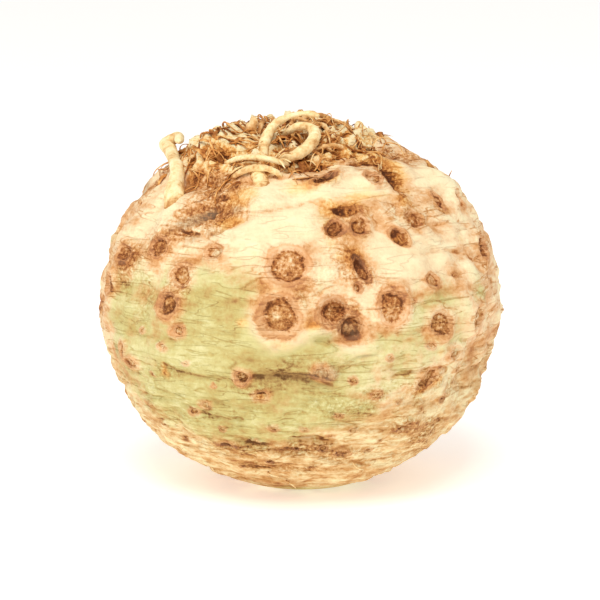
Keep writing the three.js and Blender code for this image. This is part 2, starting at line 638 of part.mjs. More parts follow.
// Stout roots lie round the tuft on the side that the photograph doesn't show.
function backRoots() {
  const back = new THREE.Vector3(0, 1, 0);
  const [across, along] = tangents(tuftDirection);
  const start = Math.atan2(back.dot(along), back.dot(across));
  return Array.from({ length: BACK_ROOTS }, (_, i) => {
    const angle = start + (i / (BACK_ROOTS - 1) - 0.5) * Math.PI * 0.62;
    const out = tuftAngle * (0.78 + 0.25 * draw(i, 30));
    const from = tuftDirection
      .clone()
      .multiplyScalar(Math.cos(out))
      .addScaledVector(across, Math.sin(out) * Math.cos(angle))
      .addScaledVector(along, Math.sin(out) * Math.sin(angle));
    return runningRoot({
      from,
      heading: 2 * Math.PI * draw(i, 31),
      bend: 2.4 * (draw(i, 32) - 0.5),
      length: 17 + 9 * draw(i, 33),
      radius: 1.1 + 0.6 * draw(i, 34),
      rise: 0.7 + 0.8 * draw(i, 35),
      sides: 7,
      steps: 9,
    });
  });
}

const wasm = await Module();
wasm.setup();

function solidOf(geometry) {
  const bare = geometry.clone();
  bare.deleteAttribute("normal");
  bare.deleteAttribute("uv");
  const merged = mergeVertices(bare, 1e-4);
  return new wasm.Manifold(
    new wasm.Mesh({
      numProp: 3,
      vertProperties: merged.getAttribute("position").array,
      triVerts: new Uint32Array(merged.index.array),
    }),
  );
}

function geometryOf(solid) {
  const mesh = solid.getMesh();
  const geometry = new THREE.BufferGeometry();
  geometry.setAttribute("position", new THREE.BufferAttribute(mesh.vertProperties, 3));
  geometry.setIndex(new THREE.BufferAttribute(mesh.triVerts, 1));
  geometry.computeVertexNormals();
  return geometry;
}

function celeriacRoot() {
  const roots = [...ROOTS.map(seenRoot), ...tuftRootlets(), ...backRoots()];
  const joined = roots.reduce((body, root) => body.add(solidOf(root)), solidOf(fleshGeometry()));
  // Crossing roots can close off small hollows. The outer skin alone is kept, so those are solid.
  const [solid] = joined.decompose().sort((a, b) => b.volume() - a.volume());
  const skin = new THREE.MeshStandardMaterial({ color: 0xe6c98c, roughness: 0.72, metalness: 0 });
  const mesh = new THREE.Mesh(geometryOf(solid), skin);
  mesh.name = "celeriac_root";
  return mesh;
}

const celeriac = new THREE.Group();
celeriac.add(celeriacRoot());

export default celeriac;
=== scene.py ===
"""A raw celeriac root, rough and unpeeled, standing on its cut crown on pale ground in soft daylight.

Lengths are in millimetres until a mesh is finished, and metres in Blender.
"""
import math
import random

import bmesh
import bpy
import numpy as np
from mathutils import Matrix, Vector, noise


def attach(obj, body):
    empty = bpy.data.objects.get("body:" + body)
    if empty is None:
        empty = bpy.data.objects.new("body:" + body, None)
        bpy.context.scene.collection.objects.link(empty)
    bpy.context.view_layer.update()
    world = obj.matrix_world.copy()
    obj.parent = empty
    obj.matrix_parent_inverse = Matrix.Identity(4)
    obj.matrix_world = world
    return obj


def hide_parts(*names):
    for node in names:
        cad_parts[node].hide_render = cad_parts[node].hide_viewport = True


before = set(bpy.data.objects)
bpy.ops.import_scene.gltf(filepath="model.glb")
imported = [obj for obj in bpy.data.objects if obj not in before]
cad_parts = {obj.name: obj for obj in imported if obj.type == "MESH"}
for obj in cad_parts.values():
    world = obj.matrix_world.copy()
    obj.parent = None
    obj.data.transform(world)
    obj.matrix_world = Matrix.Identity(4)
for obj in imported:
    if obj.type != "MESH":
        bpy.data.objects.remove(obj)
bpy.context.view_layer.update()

MM = 0.001

# The swollen root's driving sizes, as in the solid
WIDTH = 120
FLESH_HEIGHT = 107
FLAT_SPOT_RADIUS = 16
TUFT_RADIUS = 37
HALF_WIDTH = WIDTH / 2
CUT_SHARE = math.sqrt(1 - (FLAT_SPOT_RADIUS / HALF_WIDTH) ** 2)
HALF_HEIGHT = FLESH_HEIGHT / (1 + CUT_SHARE)
MIDDLE = np.array([0, 0, HALF_HEIGHT * CUT_SHARE])

# How the photograph was taken. What it shows is placed by its pixels, in a frame of 600 by 600.
FRAME_PIXELS = 600
VIEW_DISTANCE = 700
VIEW_ELEVATION = math.radians(10)
PIXELS_PER_MM = 3.354
MIDDLE_PIXEL = (301.5, 305)
TO_VIEWER = np.array([0, -math.cos(VIEW_ELEVATION), math.sin(VIEW_ELEVATION)])
VIEW_UP = np.array([0, math.sin(VIEW_ELEVATION), math.cos(VIEW_ELEVATION)])
VIEW_RIGHT = np.array([1.0, 0, 0])
UP = np.array([0, 0, 1.0])

# Broad swellings and hollows: the middle's pixel, half widths across and up in mm, the turn in
# degrees, and the height in mm, which is negative in a hollow
SWELLINGS = [
    ("cream_star", (275, 228), (14, 8), 0, 2.2),
    ("upper_shelf", (345, 187), (17, 6.5), 0, 2.8),
    ("pale_shoulder", (434, 178), (9, 5), -42, 2.2),
    ("cream_flank", (402, 262), (9, 11), 0, 1.6),
    ("right_boss", (471, 304), (8, 10), 0, 2.0),
    ("scar_mound", (283, 292), (13, 15), 0, 1.9),
    ("cork_mound", (390, 306), (8, 8), 0, 1.2),
    ("left_boss", (116, 268), (8, 14), 0, 1.6),
    ("double_hollow", (344, 320), (9, 6), -30, -2.4),
    ("tuft_mound", (222, 148), (12, 10), 0, 4.6),
    ("tuft_ridge", (278, 146), (13, 9), 0, 1.8),
    ("horn_foot", (177, 211), (5.5, 9), -12, 3.2),
    ("horn_hollow", (197, 183), (7, 6), 40, -2.8),
    ("brown_furrow", (213, 212), (10, 4), 22, -2.4),
    ("orange_knob", (248, 200), (5.5, 5.5), 0, 2.2),
    ("fibre_gully", (399, 184), (4, 7), 8, -2.2),
    ("right_flat", (472, 386), (14, 16), 0, -2.0),
    ("green_belly", (205, 335), (22, 15), 0, 1.0),
    ("green_gully", (292, 386), (13, 4), -10, -1.5),
    ("lower_dent", (296, 449), (4.5, 3.5), 0, -1.8),
    ("lower_fold", (300, 425), (20, 4), 0, 0.8),
    ("side_fold", (432, 352), (12, 6), 0, 0.8),
    ("right_dip", (486, 358), (11, 17), 0, -3.4),
    ("left_dip", (121, 216), (9, 9), 30, -2.4),
    ("right_side_dip", (503, 345), (10, 13), 0, -4.0),
    ("top_right_dip", (388, 146), (13, 6), -30, -3.4),
    ("stump_foot", (267, 205), (3.5, 6), 0, 1.8),
]

# Root scars: the middle's pixel, half sizes across and up in mm, the turn in degrees, the depth
# of the dish and the height of the rim in mm, and how dark the dish is from 0 to 1
SCARS = [
    ("upper_eye", (288, 267), (6.2, 5.4), 15, 1.3, 1.2, 0.85),
    ("lower_eye", (280, 315), (5.9, 5.6), 0, 1.2, 1.1, 0.85),
    ("double_left", (334, 312), (4.9, 4.2), 0, 1.1, 0.9, 0.65),
    ("double_right", (353, 329), (3.9, 4.2), 0, 1.5, 0.7, 0.5),
    ("cork_disc", (391, 306), (4.6, 5.2), 0, 0.9, 0.9, 0.7),
    ("right_ring", (440, 324), (4.2, 3.9), 0, 0.8, 0.8, 0.6),
    ("left_ring", (169, 303), (3.4, 3.6), 0, 1.0, 0.7, 0.75),
    ("left_stub", (182, 275), (3.2, 3.4), 20, 1.1, 0.7, 0.75),
    ("left_pit", (176, 331), (2.2, 1.9), 0, 1.0, 0.5, 0.9),
    ("grey_eye", (215, 252), (3.2, 2.4), 15, 1.0, 0.7, 0.6),
    ("dark_button", (241, 377), (2.1, 2.1), 0, 1.1, 0.7, 1.0),
    ("pale_button", (261, 395), (2.0, 1.7), 0, 0.5, 0.5, 0.5),
    ("left_patch", (160, 247), (3.4, 3.0), 0, 0.8, 0.6, 0.7),
    ("shelf_cleft", (324, 183), (4.2, 2.2), 28, 1.9, 0.6, 0.9),
    ("shelf_scar", (370, 182), (3.2, 2.7), 0, 0.9, 0.8, 0.9),
    ("shoulder_slot", (440, 199), (1.8, 3.6), 22, 1.1, 0.6, 0.8),
    ("edge_slot", (457, 200), (2.0, 3.0), 25, 1.0, 0.5, 0.7),
    ("edge_pit", (481, 246), (3.2, 3.6), 0, 1.2, 0.7, 0.7),
    ("middle_cleft", (362, 270), (1.9, 4.2), 28, 1.4, 0.7, 0.55),
    ("cleft_pit", (358, 287), (1.2, 1.7), 0, 1.0, 0.4, 0.9),
    ("amber_hollow", (398, 238), (2.8, 3.4), 35, 1.4, 0.7, 0.6),
    ("faint_right", (430, 280), (2.8, 2.1), 0, 0.6, 0.5, 0.5),
    ("twin_left", (333, 231), (3.0, 2.8), 0, 0.8, 0.8, 0.75),
    ("twin_right", (358, 228), (3.0, 2.8), 0, 0.8, 0.7, 0.75),
    ("crust_patch", (347, 213), (4.4, 1.8), 0, 0.8, 0.6, 0.3),
    ("rough_patch", (415, 218), (3.6, 3.0), -20, 0.8, 0.7, 0.2),
    ("right_low", (455, 352), (2.6, 2.3), 0, 0.8, 0.8, 0.5),
    ("amber_crease", (426, 378), (4.6, 2.0), 22, 1.0, 0.7, 0.45),
    ("low_pit", (445, 400), (1.7, 1.5), 0, 1.0, 0.4, 1.0),
    ("green_ring", (322, 373), (2.8, 2.3), 0, 0.7, 0.7, 0.35),
    ("low_left", (205, 404), (1.7, 1.2), 0, 0.8, 0.4, 0.6),
    ("low_twin", (227, 445), (2.6, 1.5), 0, 0.8, 0.5, 0.6),
    ("low_button", (271, 461), (1.3, 1.2), 0, 0.8, 0.4, 1.0),
    ("low_patch", (342, 455), (2.4, 1.6), 0, 0.8, 0.5, 0.6),
    ("low_knot", (324, 450), (1.5, 1.5), 0, 0.8, 0.4, 0.7),
    ("low_right", (405, 425), (3.2, 1.9), 10, 0.8, 0.6, 0.5),
    ("left_dash", (124, 348), (2.2, 2.2), 0, 0.9, 0.4, 0.8),
    ("left_smudge", (132, 361), (3.4, 1.8), 0, 0.7, 0.4, 0.6),
    ("left_edge_low", (113, 284), (3.6, 3.2), 0, 1.1, 0.7, 0.6),
    ("left_edge_high", (128, 254), (3.4, 2.6), 0, 0.9, 0.6, 0.6),
    ("olive_hollow", (476, 317), (4.6, 3.8), 20, 1.1, 0.8, 0.55),
]

# Small root scars low down: the middle's pixel, and the half size across in mm
BUTTONS = [
    ((184, 441), 1.3), ((352, 430), 1.3), ((380, 440), 1.1), ((305, 429), 1.2), ((274, 425), 1.3),
    ((195, 411), 1.5), ((296, 452), 1.2), ((375, 393), 1.6), ((353, 379), 1.2), ((163, 346), 1.6),
    ((153, 372), 1.2), ((243, 464), 1.0), ((310, 466), 1.0), ((368, 452), 1.2), ((420, 408), 1.3),
    ((466, 372), 1.4), ((338, 415), 1.1), ((222, 428), 1.1), ((165, 425), 1.1), ((146, 404), 1.3),
    ((398, 400), 1.2), ((430, 345), 1.3), ((390, 358), 1.0), ((256, 440), 1.0), ((331, 438), 1.0),
    ((213, 384), 0.9), ((186, 362), 1.0), ((141, 330), 1.1), ((455, 275), 1.2), ((414, 300), 0.8),
]

# Creases, with a negative height, and sharp lips, with a positive one: pixels, half width, height
CREASES = [
    (((288, 170), (320, 164), (352, 163), (380, 163), (394, 172), (399, 190)), 1.5, -2.0),
    (((302, 205), (335, 200), (374, 199)), 1.0, -0.8),
    (((316, 206), (338, 212)), 1.0, -0.8),
    (((158, 362), (200, 376), (230, 380)), 0.9, -0.9),
    (((250, 379), (280, 377), (302, 379), (330, 385)), 1.4, -1.2),
    (((132, 390), (158, 398), (178, 401), (215, 416), (242, 420)), 0.9, -0.9),
    (((206, 400), (226, 405), (252, 409)), 0.9, -0.7),
    (((238, 440), (262, 445), (290, 440), (316, 441), (334, 444)), 1.3, -1.4),
    (((396, 374), (422, 369), (452, 368)), 0.9, -0.9),
    (((318, 341), (340, 343), (362, 338)), 1.2, -1.5),
    (((256, 318), (262, 334), (276, 350), (296, 341), (318, 330)), 1.2, 1.3),
    (((330, 349), (352, 352), (376, 347)), 1.1, 1.0),
    (((316, 300), (338, 290), (358, 297), (366, 312)), 1.2, 0.9),
    (((460, 338), (478, 341), (492, 336)), 0.9, -0.8),
    (((412, 256), (436, 249), (468, 252), (484, 268)), 0.9, -0.8),
    (((418, 222), (440, 222), (462, 219)), 0.9, -0.6),
    (((180, 229), (205, 236), (250, 222), (300, 207)), 1.0, -0.8),
]

# Stout roots: the pixel of each point of the middle line, its height over the flesh in mm, which
# is negative where it is sunk in, and the root's radius there
ROOTS = {
    "left_horn": [
        (184, 236, -6.4, 2.4), (179, 219, -2.4, 3.2), (175, 202, 0.4, 3.1), (175, 186, 1.4, 2.6),
        (177, 173, 2.2, 2.15), (174, 160, 3.0, 1.75), (170, 150, 4.0, 2.0), (167, 143, 4.8, 1.9),
        (173, 139, 5.4, 1.7), (180, 141, 5.4, 1.3),
    ],
    "arching_root": [
        (262, 172, -1.6, 1.5), (263, 153, 1.4, 1.6), (267, 135, 4.0, 1.5), (276, 123, 6.0, 1.2),
        (290, 116, 7.2, 0.85), (305, 113, 7.8, 0.7), (314, 114, 7.8, 0.95), (319, 116, 7.6, 1.15),
    ],
    "loop_root": [
        (268, 161, -1.4, 0.9), (280, 159, 0.8, 1.2), (293, 156, 2.0, 1.45), (305, 149, 2.8, 1.7),
        (313, 140, 3.6, 1.75), (314, 131, 4.2, 1.6), (306, 126, 4.6, 1.3), (296, 127, 4.2, 1.2),
        (289, 131, 2.8, 1.1), (287, 137, -1.2, 1.0),
    ],
    "upper_strand": [
        (226, 163, 0.8, 0.65), (239, 158, 3.4, 0.75), (255, 157, 4.4, 0.8), (270, 159, 3.9, 0.8),
        (281, 162, 2.4, 0.75), (289, 165, -0.6, 0.65),
    ],
    "lower_strand": [
        (228, 182, -0.8, 0.7), (237, 174, 2.0, 0.8), (251, 168, 3.7, 0.95), (266, 168, 3.7, 0.95),
        (276, 172, 2.4, 0.85), (283, 180, -1.0, 0.7),
    ],
    "standing_stump": [
        (254, 170, 0.8, 1.6), (261, 182, 1.0, 2.2), (266, 197, -0.2, 2.3), (269, 212, -3.0, 1.8),
        (270, 224, -5.5, 1.2),
    ],
    "small_curl": [
        (214, 150, -0.8, 0.6), (216, 139, 2.0, 0.65), (223, 131, 3.2, 0.65), (230, 136, 2.4, 0.6),
        (232, 146, -0.8, 0.55),
    ],
    "knot": [
        (246, 140, -1.0, 1.5), (250, 130, 2.2, 1.5), (254, 122, 4.2, 1.2), (253, 118, 4.8, 0.8),
    ],
    "shoulder_spike": [
        (440, 178, -1.2, 0.9), (434, 171, 0.9, 0.7), (426, 160, 2.6, 0.45),
    ],
}

# Numbers that the rules use, as in the solid
GOLDEN_ANGLE = math.pi * (3 - math.sqrt(5))
TUFT_PIXEL = (278, 127)
TUFT_ROOTLETS = 24
BACK_ROOTS = 6
HIDDEN_SWELLINGS = 30
HIDDEN_SCARS = 170
CROWN_RINGS = (0.49, 0.7, 0.95, 1.25)
HIDDEN_SIDE = 0.12
RELIEF_STARTS = 6
# Points along a root that runs over the surface
STOPS = 6
LAST_STOP = STOPS - 1


def smoothstep(value, low, high):
    part = np.clip((value - low) / (high - low), 0, 1)
    return part * part * (3 - 2 * part)


def unit(vectors):
    return vectors / np.linalg.norm(vectors, axis=-1, keepdims=True)


def draw(count, kind):
    """A number from 0 to 1 that is always the same for the same two counts."""
    wave = math.sin(count * 12.9898 + kind * 78.233) * 43758.5453
    return wave - math.floor(wave)


def plain_radius(directions):
    """The flesh's radius along directions, before its relief."""
    level = (directions[..., 0] ** 2 + directions[..., 1] ** 2) / HALF_WIDTH**2
    return 1 / np.sqrt(level + directions[..., 2] ** 2 / HALF_HEIGHT**2)


def height_over(points):
    offsets = points - MIDDLE
    distances = np.linalg.norm(offsets, axis=-1)
    return distances - plain_radius(offsets / distances[..., None])


def over_flesh(pixel, height):
    """The nearest point to the viewer, behind a pixel, that is so high over the flesh. Where the
    line of sight stays higher than that, it is where the line passes closest."""
    nearer = np.arange(WIDTH, -HALF_WIDTH, -0.1)
    spread = (VIEW_DISTANCE - nearer) / VIEW_DISTANCE / PIXELS_PER_MM
    points = MIDDLE + nearer[:, None] * TO_VIEWER
    points = points + ((MIDDLE_PIXEL[1] - pixel[1]) * spread)[:, None] * VIEW_UP
    points = points + ((pixel[0] - MIDDLE_PIXEL[0]) * spread)[:, None] * VIEW_RIGHT
    over = height_over(points)
    reached = np.flatnonzero(over <= height)
    return points[reached[0]] if len(reached) else points[np.argmin(over)]


def direction_at(pixel):
    return unit(over_flesh(pixel, 0) - MIDDLE)


def even_direction(index, count):
    z = 1 - (2 * index + 1) / count
    level = math.sqrt(1 - z * z)
    return np.array([level * math.cos(GOLDEN_ANGLE * index), level * math.sin(GOLDEN_ANGLE * index), z])


def tangents(direction, turn=0.0):
    """East and north on the surface at a direction, turned anticlockwise by degrees."""
    east = unit(np.cross(UP, direction))
    north = np.cross(direction, east)
    angle = math.radians(turn)
    across = math.cos(angle) * east + math.sin(angle) * north
    along = math.cos(angle) * north - math.sin(angle) * east
    return across, along


class Feature:
    """A swelling, a scar or a patch of colour at a direction, with its own half sizes."""

    def __init__(self, direction, half, turn, **facts):
        self.direction = direction
        self.across, self.along = tangents(direction, turn)
        self.half = half
        self.radius = float(plain_radius(direction))
        self.__dict__.update(facts)

    def share(self, directions):
        """How far directions are from the middle, in the feature's own half sizes."""
        x = directions @ self.across * self.radius / self.half[0]
        y = directions @ self.along * self.radius / self.half[1]
        return np.where(directions @ self.direction < 0.5, np.inf, np.hypot(x, y))


tuft_direction = direction_at(TUFT_PIXEL)
tuft_angle = TUFT_RADIUS / float(plain_radius(tuft_direction))
foot_angle = math.atan2(FLAT_SPOT_RADIUS, MIDDLE[2])


def angle_to(directions, direction):
    return np.arccos(np.clip(directions @ direction, -1, 1))


def is_hidden(direction):
    return direction @ TO_VIEWER < HIDDEN_SIDE


def in_foot(direction, margin):
    return angle_to(direction, UP) > math.pi - foot_angle - margin


def hidden_swellings():
    """The same mix of sizes as the photograph shows, on the sides that it doesn't."""
    count = HIDDEN_SWELLINGS * 2
    for index in range(count):
        direction = even_direction(index, count)
        if not is_hidden(direction) or in_foot(direction, 0.25):
            continue
        half = (7 + 9 * draw(index, 1), 5 + 7 * draw(index, 2))
        height = (1 if draw(index, 3) < 0.6 else -1) * (1.0 + 1.4 * draw(index, 4))
        yield Feature(direction, half, 180 * draw(index, 5), height=height)


def hidden_scars():
    """Root scars are large near the matted roots and small near the cut leaves."""
    for index in range(HIDDEN_SCARS):
        direction = even_direction(index, HIDDEN_SCARS)
        across, along = tangents(direction)
        direction = direction + 0.12 * (draw(index, 6) - 0.5) * across
        direction = unit(direction + 0.12 * (draw(index, 7) - 0.5) * along)
        in_tuft = angle_to(direction, tuft_direction) < tuft_angle * 0.85
        if not is_hidden(direction) or in_tuft or in_foot(direction, 0.12):
            continue
        size = (1.1 + 4.2 * draw(index, 8) ** 2.4) * (1 + 0.35 * direction[2])
        half = (size * (1 + 0.35 * draw(index, 9)), size * (0.75 + 0.3 * draw(index, 10)))
        yield Feature(
            direction, half, 50 * (draw(index, 11) - 0.5),
            depth=0.45 + 0.18 * size, rim=0.3 + 0.14 * size, dark=0.45 + 0.5 * draw(index, 12),
        )


def crown_rings():
    """The cut leaves left broken rings round the crown, as lines of directions."""
    lowest_ring = 0.55
    step = 0.16
    for ring, down in enumerate(CROWN_RINGS):
        arcs = 3 + ring
        for arc in range(arcs):
            start = 2 * math.pi * (arc + draw(ring, 40)) / arcs
            extent = 2 * math.pi * (0.45 + 0.4 * draw(arc, 41 + ring)) / arcs
            wander = 0.07 * (draw(arc, 51 + ring) - 0.5)
            line = []
            for i in range(math.ceil(extent / step) + 1):
                turn = start + step * i
                tilt = down + wander * math.sin(5 * turn) + 0.02 * i * wander
                level = math.sin(tilt)
                line.append(np.array([level * math.sin(turn), level * math.cos(turn), -math.cos(tilt)]))
            if down < lowest_ring or all(is_hidden(point) for point in line):
                yield line, 1.1 + 0.5 * draw(arc, 61 + ring), -0.7 - 0.6 * draw(arc, 71 + ring)


swellings = [Feature(direction_at(p), half, turn, height=h) for _, p, half, turn, h in SWELLINGS]
swellings += list(hidden_swellings())
scars = [
    Feature(direction_at(p), half, turn, depth=depth, rim=rim, dark=dark)
    for _, p, half, turn, depth, rim, dark in SCARS
]
scars += list(hidden_scars())
buttons = [Feature(direction_at(p), (s, 0.8 * s), 0, depth=0.5, rim=0.4, dark=0.6) for p, s in BUTTONS]
creases = [([direction_at(p) for p in line], half, height) for line, half, height in CREASES]
creases += list(crown_rings())


def line_distance(line, directions):
    """The distance in mm from directions to a line of directions."""
    nearest = np.full(len(directions), np.inf)
    for start, end in zip(line, line[1:]):
        step = end - start
        part = np.clip((directions - start) @ step / (step @ step), 0, 1)
        closest = unit(start + part[:, None] * step)
        nearest = np.minimum(nearest, np.linalg.norm(closest - directions, axis=1))
    return nearest * HALF_WIDTH


def near(directions, middle, reach):
    """The numbers of the directions within a reach in mm of a middle."""
    return np.flatnonzero(directions @ middle > math.cos(min(reach / HALF_WIDTH, math.pi)))


def lumps(d):
    """Small lumps all over, and crags in the tuft, as a few crossed waves."""
    x, y, z = d.T
    waves = np.sin(9 * x + 5 * y + 1.3) + np.sin(8 * y - 7 * z + 0.4)
    waves = waves + np.sin(10 * z + 6 * x + 2.1) + np.sin(13 * (x - y) + 4 * z)
    knobs = np.sin(23 * x + 6 * y) * np.sin(21 * y + 8 * z + 2)
    knobs = knobs + np.sin(27 * z - 7 * x) * np.sin(19 * x + 14 * y)
    crags = np.sin(31 * x + 17 * z) * np.sin(29 * y - 13 * x + 1)
    crags = crags + np.sin(47 * y + 23 * z) * np.sin(41 * x + 5)
    tuft = 1 - smoothstep(angle_to(d, tuft_direction) / tuft_angle, 0.55, 1)
    upper = smoothstep(z, -0.6, 0.4)
    return 0.3 * waves + (0.25 + 0.3 * upper) * knobs + 1.3 * tuft * crags


def add_scars(height, found, directions):
    """Adds the dish, the low boss in it and the raised rim of each scar to the heights."""
    for scar in found:
        close = near(directions, scar.direction, 2.5 * max(scar.half))
        share = scar.share(directions[close])
        dish = -scar.depth * (1 - smoothstep(share, 0.55, 0.95))
        boss = 0.55 * scar.depth * np.exp(-((share / 0.32) ** 2))
        height[close] += dish + boss + scar.rim * np.exp(-(((share - 1.08) / 0.3) ** 2))


def relief(directions):
    """The height in mm of the relief that the solid has too."""
    height = lumps(directions)
    for swelling in swellings:
        close = near(directions, swelling.direction, 2.6 * max(swelling.half))
        share = swelling.share(directions[close])
        height[close] += swelling.height * np.exp(-(share**2))
    add_scars(height, scars, directions)
    for line, half, crease in creases:
        reach = max(np.linalg.norm(p - line[0]) for p in line) * HALF_WIDTH + 4 * half
        close = near(directions, line[0], reach)
        height[close] += crease * np.exp(-((line_distance(line, directions[close]) / half) ** 2))
    return height


def skin_point(directions, extra=0.0):
    """Points of the surface in mm. It is level over the flat spot, and relief dies out round that."""
    radius = plain_radius(directions)
    plain = MIDDLE[2] + radius * directions[:, 2]
    fade = smoothstep(plain, 0, RELIEF_STARTS)
    points = MIDDLE + directions * (radius + (relief(directions) + extra) * fade)[:, None]
    points[:, 2] = np.maximum(points[:, 2], np.minimum(plain, 0.4))
    foot = in_foot(directions, 1e-4)
    points[foot] = MIDDLE + directions[foot] * (MIDDLE[2] / -directions[foot, 2])[:, None]
    return points


def linear(code):
    """The linear colour of an sRGB hex value."""
    parts = [int(code[i : i + 2], 16) / 255 for i in (1, 3, 5)]
    return [p / 12.92 if p <= 0.04045 else ((p + 0.055) / 1.055) ** 2.4 for p in parts] + [1.0]


def add(tree, kind, inputs=(), stops=(), **settings):
    """The outputs of a new node with its settings, stops as colours or levels, and linked inputs."""
    made = tree.nodes.new("ShaderNode" + kind)
    for name, value in settings.items():
        setattr(made, name, value)
    for number, (at, colour) in enumerate(stops):
        elements = made.color_ramp.elements
        stop = elements[number] if number < len(elements) else elements.new(at)
        stop.position = at
        stop.color = linear(colour) if isinstance(colour, str) else (colour, colour, colour, 1)
    for key, value in dict(inputs).items():
        socket = made.inputs[key]
        if isinstance(value, bpy.types.NodeSocket):
            tree.links.new(value, socket)
        else:
            socket.default_value = value
    return made.outputs


